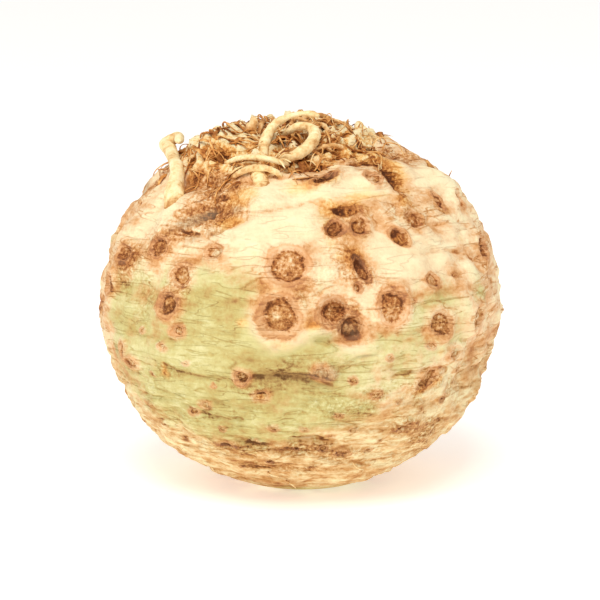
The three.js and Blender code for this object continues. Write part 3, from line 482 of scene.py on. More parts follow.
# Colour over the skin, in rows: the middle's pixel, half sizes across and up in mm, the turn in
# degrees, and the strength. Cream is smooth young skin, green is where daylight reached it, brown
# is cork, dark is partly old fibre and partly painted shade in folds, in the gaps between the
# matted roots and under a scar, amber is cork that is still thin, and grey is dried soil.
PATCHES = {
    "cream": [
        (270, 234, 15, 7, 0, 1.0), (302, 222, 12, 5, 0, 0.9), (345, 190, 16, 6, 0, 1.0),
        (434, 180, 9, 5, -42, 1.0), (402, 258, 10, 9, 0, 1.0), (434, 246, 10, 6, 0, 0.8),
        (378, 248, 8, 6, 0, 0.8), (145, 228, 4, 8, -20, 0.9), (176, 206, 5, 10, 0, 0.9),
        (266, 200, 3.5, 7, 0, 0.9), (345, 293, 9, 4, 0, 0.7), (316, 337, 9, 3, 0, 0.9),
        (264, 338, 7, 6, -30, 0.9), (325, 260, 6, 8, 0, 0.6), (245, 262, 6, 6, 0, 0.6),
        (298, 340, 7, 2.2, 25, 1.0), (353, 351, 8, 1.8, 0, 0.9), (258, 328, 2.4, 7, 15, 0.9),
        (277, 350, 4, 2, 0, 0.9), (372, 292, 3, 5, -30, 0.8), (299, 322, 2.4, 5, -25, 0.7),
        (200, 275, 5, 7, 0, 0.5), (247, 198, 4.5, 3.5, 0, 0.8), (462, 332, 9, 5, 0, 0.7),
        (416, 176, 8, 5, -35, 0.6), (455, 228, 7, 5, 0, 0.6), (150, 318, 5, 8, 0, 0.5),
        (438, 268, 8, 5, 0, 0.6),
    ],
    "green": [
        (205, 330, 27, 15, 0, 1.0), (245, 372, 28, 12, 0, 1.0), (122, 322, 8, 15, 0, 0.8),
        (200, 288, 18, 6, 0, 0.7), (305, 402, 22, 8, 0, 0.7), (436, 298, 9, 6, 0, 0.6),
        (405, 345, 16, 8, 0, 0.6), (480, 305, 6, 9, 0, 0.7), (190, 402, 24, 9, 0, 0.9),
        (300, 350, 20, 8, 0, 0.35), (448, 330, 10, 8, 0, 0.5), (240, 430, 30, 8, 0, 0.75),
    ],
    "brown": [
        (224, 198, 11, 7, 20, 1.0), (200, 218, 13, 6, 25, 1.0), (130, 262, 5, 8, 0, 0.9),
        (205, 182, 8, 6, 35, 1.0), (256, 214, 7, 4, 0, 0.8), (150, 190, 4, 8, 25, 0.8),
        (160, 247, 4, 4, 0, 0.9), (183, 276, 4.5, 4.5, 0, 0.9), (345, 211, 10, 3.5, 0, 0.6),
        (328, 185, 7, 3, 20, 0.9), (413, 214, 8, 5, -20, 0.35), (390, 176, 5, 9, 0, 1.0),
        (345, 150, 20, 6, 0, 1.0), (405, 150, 10, 6, -30, 0.55), (392, 305, 4, 4, 0, 0.8),
        (340, 320, 8, 5.5, -30, 0.85), (428, 381, 8, 4, 15, 0.7), (440, 202, 5, 5, 0, 0.3),
        (472, 215, 6, 7, 0, 0.25), (298, 451, 14, 3.5, 0, 0.8), (345, 456, 6, 2.5, 0, 0.9),
        (230, 447, 7, 2.5, 0, 0.8), (405, 425, 7, 3.5, 0, 0.7), (460, 388, 6, 4, 0, 0.6),
        (352, 264, 8, 8, 25, 0.95), (332, 224, 9, 6, 0, 0.45), (300, 290, 4, 4, 0, 0.5),
        (440, 324, 5, 4, 0, 0.55), (169, 303, 5, 5, 0, 0.7), (300, 470, 28, 4, 0, 0.5),
        (375, 393, 4, 2.5, 0, 0.7), (488, 262, 4, 9, 0, 0.6), (305, 362, 16, 4, 0, 0.5),
        (350, 405, 18, 6, 0, 0.55), (145, 300, 5, 8, 0, 0.5), (425, 438, 14, 8, -35, 0.7),
        (265, 386, 14, 3, 8, 0.5), (200, 418, 20, 3, 12, 0.5), (180, 372, 14, 2.5, 12, 0.45),
        (378, 285, 4, 4, 0, 0.4),
    ],
    # Some dark rows are painted shade: the gaps between the roots in the tuft, the hole of the loop root and
    # the hollow under the double scar.
    "dark": [
        (298, 377, 11, 2.0, -6, 0.8), (221, 199, 3, 1.4, 0, 0.9), (189, 181, 3, 8, -12, 1.0),
        (392, 172, 2.0, 5, 10, 0.5), (222, 160, 6, 3, 0, 1.0), (356, 338, 4, 1.6, 15, 0.6),
        (320, 182, 5, 1.8, 25, 0.8), (336, 146, 7, 3, 0, 0.8), (205, 213, 4, 1.6, 30, 0.7),
        (238, 133, 5, 3, 0, 0.9), (265, 163, 8, 1.6, 0, 0.9), (297, 137, 3, 3, 0, 0.9),
        (115, 283, 2, 4, 0, 0.6), (394, 233, 1.6, 2.0, 0, 0.9), (445, 400, 2.2, 1.8, 0, 0.8),
    ],
    "amber": [
        (247, 200, 5.5, 4.5, 0, 1.0), (399, 240, 3, 4, 35, 1.0), (311, 325, 3, 2.6, 0, 1.0),
        (165, 370, 1.6, 4, 25, 0.5), (333, 232, 4.5, 3.5, 0, 0.45), (324, 184, 5, 3, 20, 0.9),
        (390, 166, 5, 8, 10, 0.9), (338, 209, 9, 3.5, 8, 0.9), (357, 232, 4, 4, 0, 0.4),
        (354, 256, 5, 5, 0, 0.8), (228, 222, 7, 2, -5, 0.9), (222, 206, 6, 2.5, 10, 0.6),
        (300, 191, 6, 3, 0, 0.7), (262, 178, 5, 3, 0, 0.5), (402, 200, 6, 3, -20, 0.6),
        (440, 352, 2, 1.8, 0, 0.6), (261, 395, 2.2, 1.8, 0, 0.5), (283, 343, 5, 1.8, 0, 0.7),
        (430, 385, 8, 2.5, 15, 0.7), (305, 185, 4, 3, 0, 0.6), (360, 198, 8, 1.4, 0, 0.6),
        (243, 322, 3, 1.6, 0, 0.6), (390, 172, 4, 9, 10, 0.9), (462, 240, 4, 3, 0, 0.5),
    ],
    "grey": [
        (195, 216, 9, 2.3, 36, 0.9), (322, 373, 5, 4, 0, 0.7), (238, 211, 3, 1.8, 0, 0.8),
        (141, 192, 5, 2, 60, 0.7), (352, 330, 5, 4, 0, 0.5), (430, 281, 4, 3, 0, 0.5),
        (212, 254, 5, 3.5, 10, 0.25), (196, 236, 7, 2, 20, 0.6), (120, 355, 5, 4, 0, 0.5),
        (158, 172, 3, 6, 25, 0.6),
    ],
}
HIDDEN_PATCHES = 260
# The chance of each colour near the matted roots, round the middle and near the crown
HIDDEN_MIX = {
    "cream": (0.24, 0.26, 0.30),
    "green": (0.00, 0.30, 0.16),
    "brown": (0.44, 0.20, 0.34),
    "dark": (0.12, 0.06, 0.06),
    "amber": (0.12, 0.10, 0.08),
    "grey": (0.08, 0.08, 0.06),
}


def patches():
    """Every patch of colour by its kind. The hidden sides follow a rule with the same mix."""
    made = {
        kind: [Feature(direction_at(row[:2]), row[2:4], row[4], strength=row[5]) for row in rows]
        for kind, rows in PATCHES.items()
    }
    for index in range(HIDDEN_PATCHES):
        direction = even_direction(index, HIDDEN_PATCHES)
        if not is_hidden(direction):
            continue
        height = float(direction[2])
        zone = 0 if height > 0.35 else 1 if height > -0.5 else 2
        chance = draw(index, 80)
        for kind, chances in HIDDEN_MIX.items():
            chance -= chances[zone]
            if chance < 0:
                break
        size = 3.0 + 7.0 * draw(index, 81) ** 1.5
        wide = size * (1.2 + 0.9 * draw(index, 82))
        tall = size * (0.5 + 0.4 * draw(index, 83)) * (0.6 if kind in ("dark", "amber") else 1)
        turn = 60 * (draw(index, 84) - 0.5)
        made[kind].append(Feature(direction, (wide, tall), turn, strength=0.55 + 0.3 * draw(index, 85)))
    return made


def cover(features, directions):
    """How much of each direction the patches cover, from 0 to 1."""
    bare = np.ones(len(directions))
    for patch in features:
        close = near(directions, patch.direction, 2.4 * max(patch.half))
        bare[close] *= 1 - patch.strength * np.exp(-(patch.share(directions[close]) ** 2))
    return 1 - bare


def nearest_scar(directions):
    """The distance from the nearest scar's middle, in its half sizes, and how dark that scar is."""
    nearest = np.full(len(directions), 3.0)
    dark = np.zeros(len(directions))
    for scar in scars + buttons:
        close = near(directions, scar.direction, 2.8 * max(scar.half))
        share = scar.share(directions[close])
        closer = close[share < nearest[close]]
        nearest[closer] = share[share < nearest[close]]
        dark[closer] = scar.dark
    return nearest, dark


def grain(points, size, stretch=1.0, seed=0.0, octaves=3):
    """Smooth noise between about -1 and 1, with features of a size in mm, drawn out level."""
    return np.array(
        [
            noise.fractal(
                Vector((x / size / stretch + seed, y / size / stretch, z / size)), 0.9, 2.1, octaves
            )
            for x, y, z in points.tolist()
        ]
    )


def uneven(points):
    """A small shift for each point, which makes round outlines uneven."""
    return np.stack([grain(points, 4.5, seed=seed) for seed in (11.0, 17.0, 23.0)], axis=1)


def ridges(points, size, stretch=1.0, seed=0.0):
    """Thin grooves at the zero lines of smooth noise: 1 in a groove and 0 away from it."""
    return np.exp(-((grain(points, size, stretch, seed, octaves=2) / 0.12) ** 2))


def blurred(values, edges, rounds):
    """Values averaged over their neighbours, so many times."""
    count = len(values)
    ends = np.concatenate([edges[:, 0], edges[:, 1]])
    others = np.concatenate([edges[:, 1], edges[:, 0]])
    valence = np.bincount(ends, minlength=count)
    for _ in range(rounds):
        values = 0.5 * values + 0.5 * np.bincount(ends, values[others], minlength=count) / valence
    return values


def finish_piece(name, bm, material):
    """A mesh object in metres from a bmesh in millimetres, as a piece of the root."""
    bmesh.ops.recalc_face_normals(bm, faces=bm.faces)
    bmesh.ops.scale(bm, vec=(MM, MM, MM), verts=bm.verts)
    mesh = bpy.data.meshes.new(name)
    bm.to_mesh(mesh)
    bm.free()
    mesh.shade_smooth()
    mesh.materials.append(material)
    piece = bpy.data.objects.new(name, mesh)
    bpy.context.collection.objects.link(piece)
    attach(piece, "root")
    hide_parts("celeriac_root")
    return piece


def set_attribute(mesh, name, values):
    """A value or a set of three at each vertex, which the material reads."""
    kind, key = ("FLOAT", "value") if values.ndim == 1 else ("FLOAT_VECTOR", "vector")
    mesh.attributes.new(name, kind, "POINT").data.foreach_set(key, values.astype(np.float32).ravel())


# Cuts in each side of the skin's grid, which give it 196,608 triangles
SKIN_CUTS = 127
# How far the outlines of scars and creases wander, in radians
OUTLINE_WANDER = 0.013
# Half the length of the longest crease, in mm
CREASE_REACH = 45
# Rounds of averaging that leave fine relief out, and broad relief too
FINE_ROUNDS = 14
BROAD_ROUNDS = 110


def make_flesh(material):
    """The whole skin as one closed cube-shaped grid that is blown up to a ball and then moved."""
    bm = bmesh.new()
    bmesh.ops.create_cube(bm, size=2)
    bmesh.ops.subdivide_edges(bm, edges=bm.edges, cuts=SKIN_CUTS, use_grid_fill=True)
    corners = np.array([vertex.co for vertex in bm.verts])
    directions = unit(np.tan(corners * math.pi / 4))
    edges = np.array([[vertex.index for vertex in edge.verts] for edge in bm.edges])

    points = skin_point(directions)
    shifted = unit(directions + OUTLINE_WANDER * uneven(points))
    rho, dark = nearest_scar(shifted)
    colours = {kind: cover(rows, directions) for kind, rows in patches().items()}
    # Each crease is drawn dark, partly as painted shade in its groove, and each sharp lip is drawn cream.
    lines = {"dark": np.zeros(len(directions)), "cream": np.zeros(len(directions))}
    for line, half, height in creases:
        kind = "dark" if height < 0 else "cream"
        close = near(directions, line[len(line) // 2], CREASE_REACH)
        drawn = np.exp(-((line_distance(line, shifted[close]) / (0.8 * half)) ** 2))
        drawn *= np.clip(0.7 + 1.1 * grain(points[close], 6, seed=14.2), 0, 1)
        drawn *= min(0.85, 0.4 + 0.35 * abs(height))
        lines[kind][close] = np.maximum(lines[kind][close], drawn)
    for kind, drawn in lines.items():
        colours[kind] = np.maximum(colours[kind], drawn)
    tuft_share = angle_to(directions, tuft_direction) / tuft_angle
    tuft = 1 - smoothstep(tuft_share + 0.12 * grain(points, 9, seed=3.1), 0.62, 0.98)
    scarred = 1 - smoothstep(rho, 1.1, 1.7)
    rough = np.clip(0.3 + 0.8 * colours["brown"] + 0.7 * scarred + tuft - 0.25 * colours["cream"], 0, 1.3)
    low = 1 - smoothstep(directions[:, 2], -0.75, 0.15)

    # Lumps and crumbs stand out on rough skin, and level wrinkles run between the scars.
    extra = 0.45 * (0.4 + rough) * grain(points, 4.2, stretch=1.5, seed=1.7)
    extra += 0.2 * (0.2 + rough) * grain(points, 1.7, seed=8.3)
    extra -= (0.34 + 0.4 * low) * ridges(points, 5.5, stretch=3.2, seed=5.9) * (1 - scarred)
    extra -= 0.4 * (0.4 + rough) * ridges(points, 9.0, stretch=1.6, seed=2.3) * (1 - scarred)
    extra += 0.16 * (1 - smoothstep(rho, 0.7, 1.1)) * grain(points, 1.4, seed=4.4)
    crags = 1.0 - 2.6 * np.abs(grain(points, 6.5, seed=6.6, octaves=4))
    extra += tuft * (1.0 * crags - 1.1 * ridges(points, 9.0, seed=9.2) - 0.4)
    add_scars(extra, buttons, directions)
    height = relief(directions) + extra
    points = skin_point(directions, extra)

    for vertex, place in zip(bm.verts, points.tolist()):
        vertex.co = place
    piece = finish_piece("celeriac_flesh", bm, material)

    fine = blurred(height, edges, FINE_ROUNDS)
    broad = blurred(fine, edges, BROAD_ROUNDS)
    # The fine and broad relief, which the material turns into painted shade in hollows and a painted
    # highlight on raised parts, and the tuft
    set_attribute(piece.data, "hollow", np.stack([height - fine, fine - broad, tuft], axis=1))
    set_attribute(piece.data, "scar", np.stack([rho, dark, low], axis=1))
    set_attribute(piece.data, "growth", np.stack([colours[k] for k in ("cream", "green", "brown")], axis=1))
    set_attribute(piece.data, "stain_and_shade", np.stack([colours[k] for k in ("dark", "amber", "grey")], axis=1))


def smooth_path(stops, count):
    """Points and radii along a smooth curve through the stops, evenly spaced by length."""
    stops = np.asarray(stops, dtype=float)
    places = stops[:, :3]
    lengths = np.concatenate([[0], np.cumsum(np.linalg.norm(np.diff(places, axis=0), axis=1))])
    slopes = np.gradient(stops, lengths, axis=0)
    at = np.linspace(0, lengths[-1], count)
    index = np.clip(np.searchsorted(lengths, at, side="right") - 1, 0, len(stops) - 2)
    span = (lengths[index + 1] - lengths[index])[:, None]
    t = (at - lengths[index])[:, None] / span
    made = (2 * t**3 - 3 * t**2 + 1) * stops[index] + (t**3 - 2 * t**2 + t) * span * slopes[index]
    made += (3 * t**2 - 2 * t**3) * stops[index + 1] + (t**3 - t**2) * span * slopes[index + 1]
    return made[:, :3], np.maximum(made[:, 3], 0.05)


def straight_root(sides, rings):
    """A closed straight root of unit radius that stands on 0 and reaches 1, ready to be bent."""
    bm = bmesh.new()
    bmesh.ops.create_cone(bm, cap_ends=True, segments=sides, radius1=1, radius2=1, depth=1)
    bmesh.ops.translate(bm, verts=bm.verts, vec=(0, 0, 0.5))
    upright = [edge for edge in bm.edges if abs(edge.verts[0].co.z - edge.verts[1].co.z) > 0.5]
    bmesh.ops.subdivide_edges(bm, edges=upright, cuts=rings - 2, use_grid_fill=True)
    mesh = bpy.data.meshes.new("straight_root")
    bm.to_mesh(mesh)
    bm.free()
    return mesh


def bend_root(straight, stops, rings, roughness=0.0, seed=0.0, flat=1.0):
    """The straight root's vertices, moved along the curve through the stops, with a rounded tip."""
    centres, radii = smooth_path(stops, rings)
    way = unit(np.gradient(centres, axis=0))
    side = np.zeros_like(way)
    side[0] = unit(np.cross(way[0], UP if abs(way[0][2]) < 0.9 else VIEW_RIGHT))
    for i in range(1, rings):
        side[i] = unit(side[i - 1] - (side[i - 1] @ way[i]) * way[i])
    other = np.cross(way, side)
    place = np.rint(straight[:, 2] * (rings - 1)).astype(int)
    tip = np.clip((rings - 0.6 - place) / max(2, rings * 0.06), 0.02, 1) ** 0.5
    reach = radii[place] * tip
    if roughness:
        angle = np.arctan2(straight[:, 1], straight[:, 0])
        around = np.stack([np.cos(angle), np.sin(angle), place * 0.35], axis=1)
        along = grain(np.stack([place * 0.16, place * 0.0, place * 0.0], axis=1), 1.0, seed=seed)
        reach = reach * (1 + roughness * grain(around, 0.9, seed=seed) + 1.1 * roughness * along)
    bent = centres[place]
    bent = bent + (straight[:, :1] * reach[:, None]) * side[place]
    return bent + (straight[:, 1:2] * reach[:, None] * flat) * other[place]


def finish_roots(name, bm, material):
    """A piece of roots, with how far each of its points stands clear of the skin, from 0 to 1."""
    points = np.array([vertex.co for vertex in bm.verts]) - MIDDLE
    distances = np.linalg.norm(points, axis=1)
    skin = np.linalg.norm(skin_point(points / distances[:, None]) - MIDDLE, axis=1)
    piece = finish_piece(name, bm, material)
    set_attribute(piece.data, "clear", smoothstep(distances - skin, 0, CONTACT_SHADE_HEIGHT))


def add_roots(bm, paths, sides, rings, roughness=0.0, flat=1.0, seed=0.0):
    """Bent copies of one straight root, one for each path."""
    template = straight_root(sides, rings)
    straight = np.zeros(len(template.vertices) * 3)
    template.vertices.foreach_get("co", straight)
    straight = straight.reshape(-1, 3)
    for number, stops in enumerate(paths):
        first = len(bm.verts)
        bm.from_mesh(template)
        bm.verts.ensure_lookup_table()
        bent = bend_root(straight, stops, rings, roughness, seed + 3.7 * number, flat)
        for index, place in enumerate(bent.tolist()):
            bm.verts[first + index].co = place
    bpy.data.meshes.remove(template)


def walk(direction, heading, length, turns):
    """Directions along the surface, one for each turn in radians, over a length in mm."""
    across, along = tangents(direction)
    way = math.cos(heading) * across + math.sin(heading) * along
    for turn in turns:
        yield direction
        direction = unit(direction + way * (length / (len(turns) - 1) / HALF_WIDTH))
        way = unit(way - (way @ direction) * direction)
        way = math.cos(turn) * way + math.sin(turn) * np.cross(direction, way)


def running_root(start, heading, bend, length, radius, rise):
    """A root that runs over the surface from a direction, bending, and dives in at its end."""
    made = []
    for stop, direction in enumerate(walk(start, heading, length, [bend / LAST_STOP] * STOPS)):
        part = stop / LAST_STOP
        over = -1.8 * radius + (rise + 1.8 * radius) * math.sin(math.pi * part) ** 0.7
        place = MIDDLE + direction * (float(plain_radius(direction)) + over)
        made.append((*place, radius * (1 - 0.35 * part)))
    return made


def tuft_place(out, angle):
    """A direction in the tuft, so far in radians from its middle and at an angle round it."""
    across, along = tangents(tuft_direction)
    level = math.sin(out)
    return unit(math.cos(out) * tuft_direction + level * (math.cos(angle) * across + math.sin(angle) * along))


def tuft_rootlets():
    """Short curled rootlets that mat the tuft."""
    across, along = tangents(tuft_direction)
    for i in range(TUFT_ROOTLETS):
        out = math.sin(tuft_angle * 0.82 * math.sqrt((i + 0.5) / TUFT_ROOTLETS))
        angle = GOLDEN_ANGLE * i
        start = unit(tuft_direction + out * math.cos(angle) * across + out * math.sin(angle) * along)
        yield running_root(
            start, 2 * math.pi * draw(i, 20), 3.4 * (draw(i, 21) - 0.5), 9 + 9 * draw(i, 22),
            0.5 + 0.4 * draw(i, 23), 1.2 + 1.4 * draw(i, 24),
        )


def back_roots():
    """Stout roots round the tuft on the side that the photograph doesn't show."""
    across, along = tangents(tuft_direction)
    first = math.atan2(along[1], across[1])
    for i in range(BACK_ROOTS):
        angle = first + (i / (BACK_ROOTS - 1) - 0.5) * math.pi * 0.62
        start = tuft_place(tuft_angle * (0.78 + 0.25 * draw(i, 30)), angle)
        yield running_root(
            start, 2 * math.pi * draw(i, 31), 2.4 * (draw(i, 32) - 0.5), 17 + 9 * draw(i, 33),
            1.1 + 0.6 * draw(i, 34), 0.7 + 0.8 * draw(i, 35),
        )


FIBRES = 220
FLAKES = 380
# A root is painted darker, as shade where it meets the skin, where it stands less than this far clear of the
# skin, in mm.
CONTACT_SHADE_HEIGHT = 1.3
# Roots that are as brown as the mat round them
BROWN_ROOTS = ("small_curl", "knot", "shoulder_spike")
# Pale hairs on the strands in the tuft, as in the lists of roots
PALE_HAIRS = [
    [(278, 158, 2.6, 0.3), (284, 153, 4.0, 0.28), (291, 153, 4.2, 0.2)],
    [(277, 157, 2.6, 0.3), (280, 152, 4.4, 0.26), (285, 148, 5.2, 0.18)],
    [(279, 160, 2.4, 0.3), (285, 159, 3.6, 0.26), (291, 162, 3.0, 0.2)],
    [(276, 159, 2.4, 0.3), (281, 162, 3.6, 0.26), (285, 168, 2.8, 0.2)],
    [(236, 166, 1.6, 0.35), (246, 162, 2.6, 0.3), (258, 163, 2.4, 0.25)],
    [(228, 176, 1.6, 0.35), (236, 169, 2.8, 0.3), (247, 165, 2.0, 0.25)],
    [(268, 472, -0.2, 0.25), (272, 475, 1.2, 0.22), (279, 477, 1.6, 0.14)],
    [(286, 480, -0.2, 0.25), (291, 484, 1.2, 0.22), (296, 488, 1.6, 0.14)],
    [(352, 462, -0.2, 0.2), (356, 467, 1.2, 0.18), (364, 470, 1.6, 0.12)],
]
# Loose hairs that the photograph shows away from the tuft: pixels, height over the flesh and
# radius in mm
HAIRS = [
    [(382, 150, -0.4, 0.22), (386, 143, 1.4, 0.2), (396, 144, 2.4, 0.18), (404, 156, 2.0, 0.12)],
    [(372, 146, -0.4, 0.2), (377, 139, 1.6, 0.18), (388, 138, 2.4, 0.14), (398, 143, 2.8, 0.1)],
    [(446, 182, -0.4, 0.25), (449, 176, 1.0, 0.2), (452, 170, 2.2, 0.1)],
    [(352, 132, -0.4, 0.2), (346, 126, 1.2, 0.18), (338, 123, 1.8, 0.14), (330, 124, 1.2, 0.1)],
    [(196, 138, -0.4, 0.25), (191, 145, 2.0, 0.22), (188, 154, 2.6, 0.2), (190, 164, 1.0, 0.16)],
    [(206, 146, -0.4, 0.22), (200, 136, 2.6, 0.2), (193, 138, 3.6, 0.16), (190, 146, 3.0, 0.12)],
]


def fibre_paths(rng, count, length, radius, rise, sharpness=1.0):
    """Seeded curls that start in the skin of the tuft and lie over it or stand off it a little."""
    made = []
    for _ in range(count):
        out = tuft_angle * 0.93 * rng.random() ** 0.6
        start = tuft_place(out, rng.uniform(0, 2 * math.pi))
        heading = rng.uniform(0, 2 * math.pi)
        reach = rng.uniform(*length)
        thick = rng.uniform(*radius)
        high = rng.uniform(*rise)
        bend = rng.uniform(-2.6, 2.6) * sharpness
        hold = rng.random() < 0.75
        turns = [(bend + rng.uniform(-1.2, 1.2) * sharpness) / LAST_STOP for _ in range(STOPS)]
        for stop, direction in enumerate(walk(start, heading, reach, turns)):
            part = stop / LAST_STOP
            over = high * (math.sin(math.pi * part) ** 0.8 if hold else part**1.4) - thick
            made.append((direction, over, thick * (1 - 0.55 * part)))
    skin = np.linalg.norm(skin_point(np.array([stop[0] for stop in made])) - MIDDLE, axis=1)
    placed = [(*(MIDDLE + stop[0] * (height + stop[1])), stop[2]) for stop, height in zip(made, skin)]
    return [placed[first : first + STOPS] for first in range(0, len(placed), STOPS)]


def seen_paths(lines):
    """Paths of points and radii in mm for lines of pixels, heights over the flesh and radii."""
    return [[(*over_flesh((x, y), over), radius) for x, y, over, radius in stops] for stops in lines]


def make_roots(material):
    """The stout roots in the tuft, as one piece."""
    pale = seen_paths(stops for name, stops in ROOTS.items() if name not in BROWN_ROOTS)
    bm = bmesh.new()
    add_roots(bm, pale + list(back_roots()), sides=22, rings=70, roughness=0.13, seed=1.0)
    add_roots(bm, seen_paths(PALE_HAIRS), sides=8, rings=16, roughness=0.1, seed=90.0)
    finish_roots("stout_roots", bm, material)


def make_fibres(bark, material):
    """The rootlets, the loose fibres and the flakes of bark, each kind as one piece."""
    brown = seen_paths(ROOTS[name] for name in BROWN_ROOTS)
    bm = bmesh.new()
    add_roots(bm, list(tuft_rootlets()) + brown, sides=12, rings=34, roughness=0.25, seed=60.0)
    finish_roots("rootlets", bm, bark)

    rng = random.Random(7)
    bm = bmesh.new()
    fine = fibre_paths(rng, FIBRES, length=(4, 13), radius=(0.12, 0.34), rise=(0.2, 1.6))
    add_roots(bm, fine + seen_paths(HAIRS), sides=5, rings=14, roughness=0.1, seed=200.0)
    finish_roots("tuft_fibres", bm, material)

    bm = bmesh.new()
    flakes = fibre_paths(rng, FLAKES, length=(3, 9), radius=(0.6, 2.3), rise=(0.1, 1.8), sharpness=0.4)
    add_roots(bm, flakes, sides=7, rings=10, roughness=0.5, flat=0.22, seed=400.0)
    finish_roots("bark_flakes", bm, material)


def start_material(name):
    """A material without nodes, its tree, and the place on the root that its patterns follow."""
    material = bpy.data.materials.new(name)
    material.use_nodes = True
    material.node_tree.nodes.clear()
    return material, material.node_tree, add(material.node_tree, "TexCoord")["Object"]


def finish_material(tree, colour, roughness, height, depth):
    """Dry and dull, in a colour, with fine relief of a depth in metres."""
    bump = add(tree, "Bump", {"Height": height, "Strength": 0.5, "Distance": depth})[0]
    dull = {"Base Color": colour, "Roughness": roughness, "Normal": bump, "IOR": 1.45}
    shader = add(tree, "BsdfPrincipled", {**dull, "Specular IOR Level": 0.3})[0]
    add(tree, "OutputMaterial", {"Surface": shader})


def skin_material():
    """Raw celeriac skin: a dry corky hide, so it is dull. One tone runs from dark fibre and painted
    shade in the folds over tan cork to cream young skin, and it turns greenish where daylight
    reached it. Hollows of the relief are painted darker and its raised parts paler."""
    material, tree, place = start_material("raw_celeriac_skin")
    # The skin's threads lie level round the root, and its folds are drawn out further.
    level = add(tree, "Mapping", {"Vector": place, "Scale": (1, 1, 3.2)})[0]
    drawn_out = add(tree, "Mapping", {"Vector": place, "Scale": (0.5, 0.5, 3.4)})[0]
    noises = {}
    for name, where, size, detail in (
        ("broad", place, 22, 2), ("cork", place, 6, 3), ("crumb", place, 0.9, 4),
        ("thread", level, 5, 3), ("fold", drawn_out, 17, 1), ("small_fold", drawn_out, 8.5, 1),
        ("layers", level, 4, 4),
    ):
        inputs = {"Vector": where, "Scale": 1 / (size * MM), "Detail": detail, "Roughness": 0.6}
        noises[name] = add(tree, "TexNoise", inputs)[0]
    read = {}
    for name in ("hollow", "scar", "growth", "stain_and_shade"):
        held = add(tree, "Attribute", attribute_name=name)["Vector"]
        read[name] = add(tree, "SeparateXYZ", {0: held})
    fine_hollow, broad_relief_light_and_shade, tuft = read["hollow"]
    rho, dark_scar, low = read["scar"]
    cream, green, brown = read["growth"]
    dark, amber, grey = read["stain_and_shade"]

    # Each mask rises from a start to an end, over a border that the noise of the cork makes ragged.
    # The patchy one says where folds show.
    masks = {}
    for name, value, ragged, starts, ends, strength in (
        ("cream", cream, 0.6, 0.45, 1.25, 0.65),
        ("green", green, 1.3, 0.75, 1.5, 0.9),
        ("brown", brown, 1.4, 0.85, 1.45, 1.0),
        ("dark", dark, 1.5, 1.0, 1.35, 1.0),
        ("amber", amber, 1.5, 1.0, 1.6, 0.9),
        ("grey", grey, 1.4, 0.9, 1.5, 0.4),
        ("tuft", tuft, 0.8, 0.5, 1.0, 1.0),
        ("low", low, 0.8, 0.6, 1.3, 1.0),
        ("straw", low, 0.8, 0.4, 1.1, 0.3),
        ("patchy", -0.46, 1.5, 0.18, 0.32, 1.0),
    ):
        inputs = {0: noises["cork"], 1: ragged, 2: value}
        border = add(tree, "Math", inputs, operation="MULTIPLY_ADD")[0]
        limits = {0: border, 1: starts, 2: ends, 3: 0.0, 4: strength}
        masks[name] = add(tree, "MapRange", limits, interpolation_type="SMOOTHSTEP")[0]

    # Folds in the skin are the lines along which the drawn-out noise is at its middle value.
    folds = 0.0
    for name, width in (("fold", 0.019), ("small_fold", 0.015)):
        off = add(tree, "Math", {0: noises[name], 1: 0.5}, operation="SUBTRACT")[0]
        off = add(tree, "Math", {0: off}, operation="ABSOLUTE")[0]
        line = add(tree, "MapRange", {0: off, 1: 0.0, 2: width, 3: 1.0, 4: 0.0})[0]
        folds = add(tree, "Math", {0: line, 1: folds}, operation="MAXIMUM")[0]
    folds = add(tree, "Math", {0: folds, 1: masks["patchy"]}, operation="MULTIPLY")[0]

    # A root scar has a rough brown floor, a pale rim and thin brown outlines, all uneven.
    uneven_rho = rho
    for name, amount in (("cork", 0.6), ("crumb", 0.2)):
        inputs = {0: noises[name], 1: amount, 2: uneven_rho}
        uneven_rho = add(tree, "Math", inputs, operation="MULTIPLY_ADD")[0]
    across = add(tree, "MapRange", {0: uneven_rho, 1: 0.4, 2: 2.4, 3: 0.0, 4: 1.0})[0]
    stops = (
        (0.0, 0.49), (0.26, 0.46), (0.32, 0.24), (0.345, 0.24), (0.38, 0.46), (0.46, 0.46),
        (0.50, 0.34), (0.515, 0.34), (0.55, 0.48), (0.61, 0.46), (0.63, 0.40), (0.65, 0.47), (0.85, 0.5),
    )
    ring = add(tree, "ValToRGB", {0: across}, stops)[0]
    ring = add(tree, "Math", {0: ring, 1: 0.5}, operation="SUBTRACT")[0]
    strength = add(tree, "Math", {0: dark_scar, 1: 0.7, 2: 0.14}, operation="MULTIPLY_ADD")[0]
    ring = add(tree, "Math", {0: ring, 1: strength}, operation="MULTIPLY")[0]
    inside = add(tree, "MapRange", {0: across, 1: 0.32, 2: 0.46, 3: 1.0, 4: 0.0})[0]
    limits = {0: across, 1: 0.55, 2: 0.95, 3: 1.0, 4: 0.0}
    halo = add(tree, "MapRange", limits, interpolation_type="SMOOTHSTEP")[0]
    # No skin turns green round a scar, and none is smooth and young in one.
    for name, starts, ends, least in (("green", 0.55, 0.95, 0.15), ("cream", 0.5, 0.64, 0.2)):
        limits = {0: across, 1: starts, 2: ends, 3: least, 4: 1.0}
        clear = add(tree, "MapRange", limits, interpolation_type="SMOOTHSTEP")[0]
        masks[name] = add(tree, "Math", {0: masks[name], 1: clear}, operation="MULTIPLY")[0]
    rough_share = add(tree, "Math", {0: masks["brown"], 1: inside}, operation="MAXIMUM")[0]
    rough_share = add(tree, "Math", {0: rough_share, 1: masks["tuft"]}, operation="MAXIMUM")[0]
    crumb_off = add(tree, "Math", {0: noises["crumb"], 1: 0.5}, operation="SUBTRACT")[0]
    speckle = add(tree, "Math", {0: crumb_off, 1: rough_share}, operation="MULTIPLY")[0]
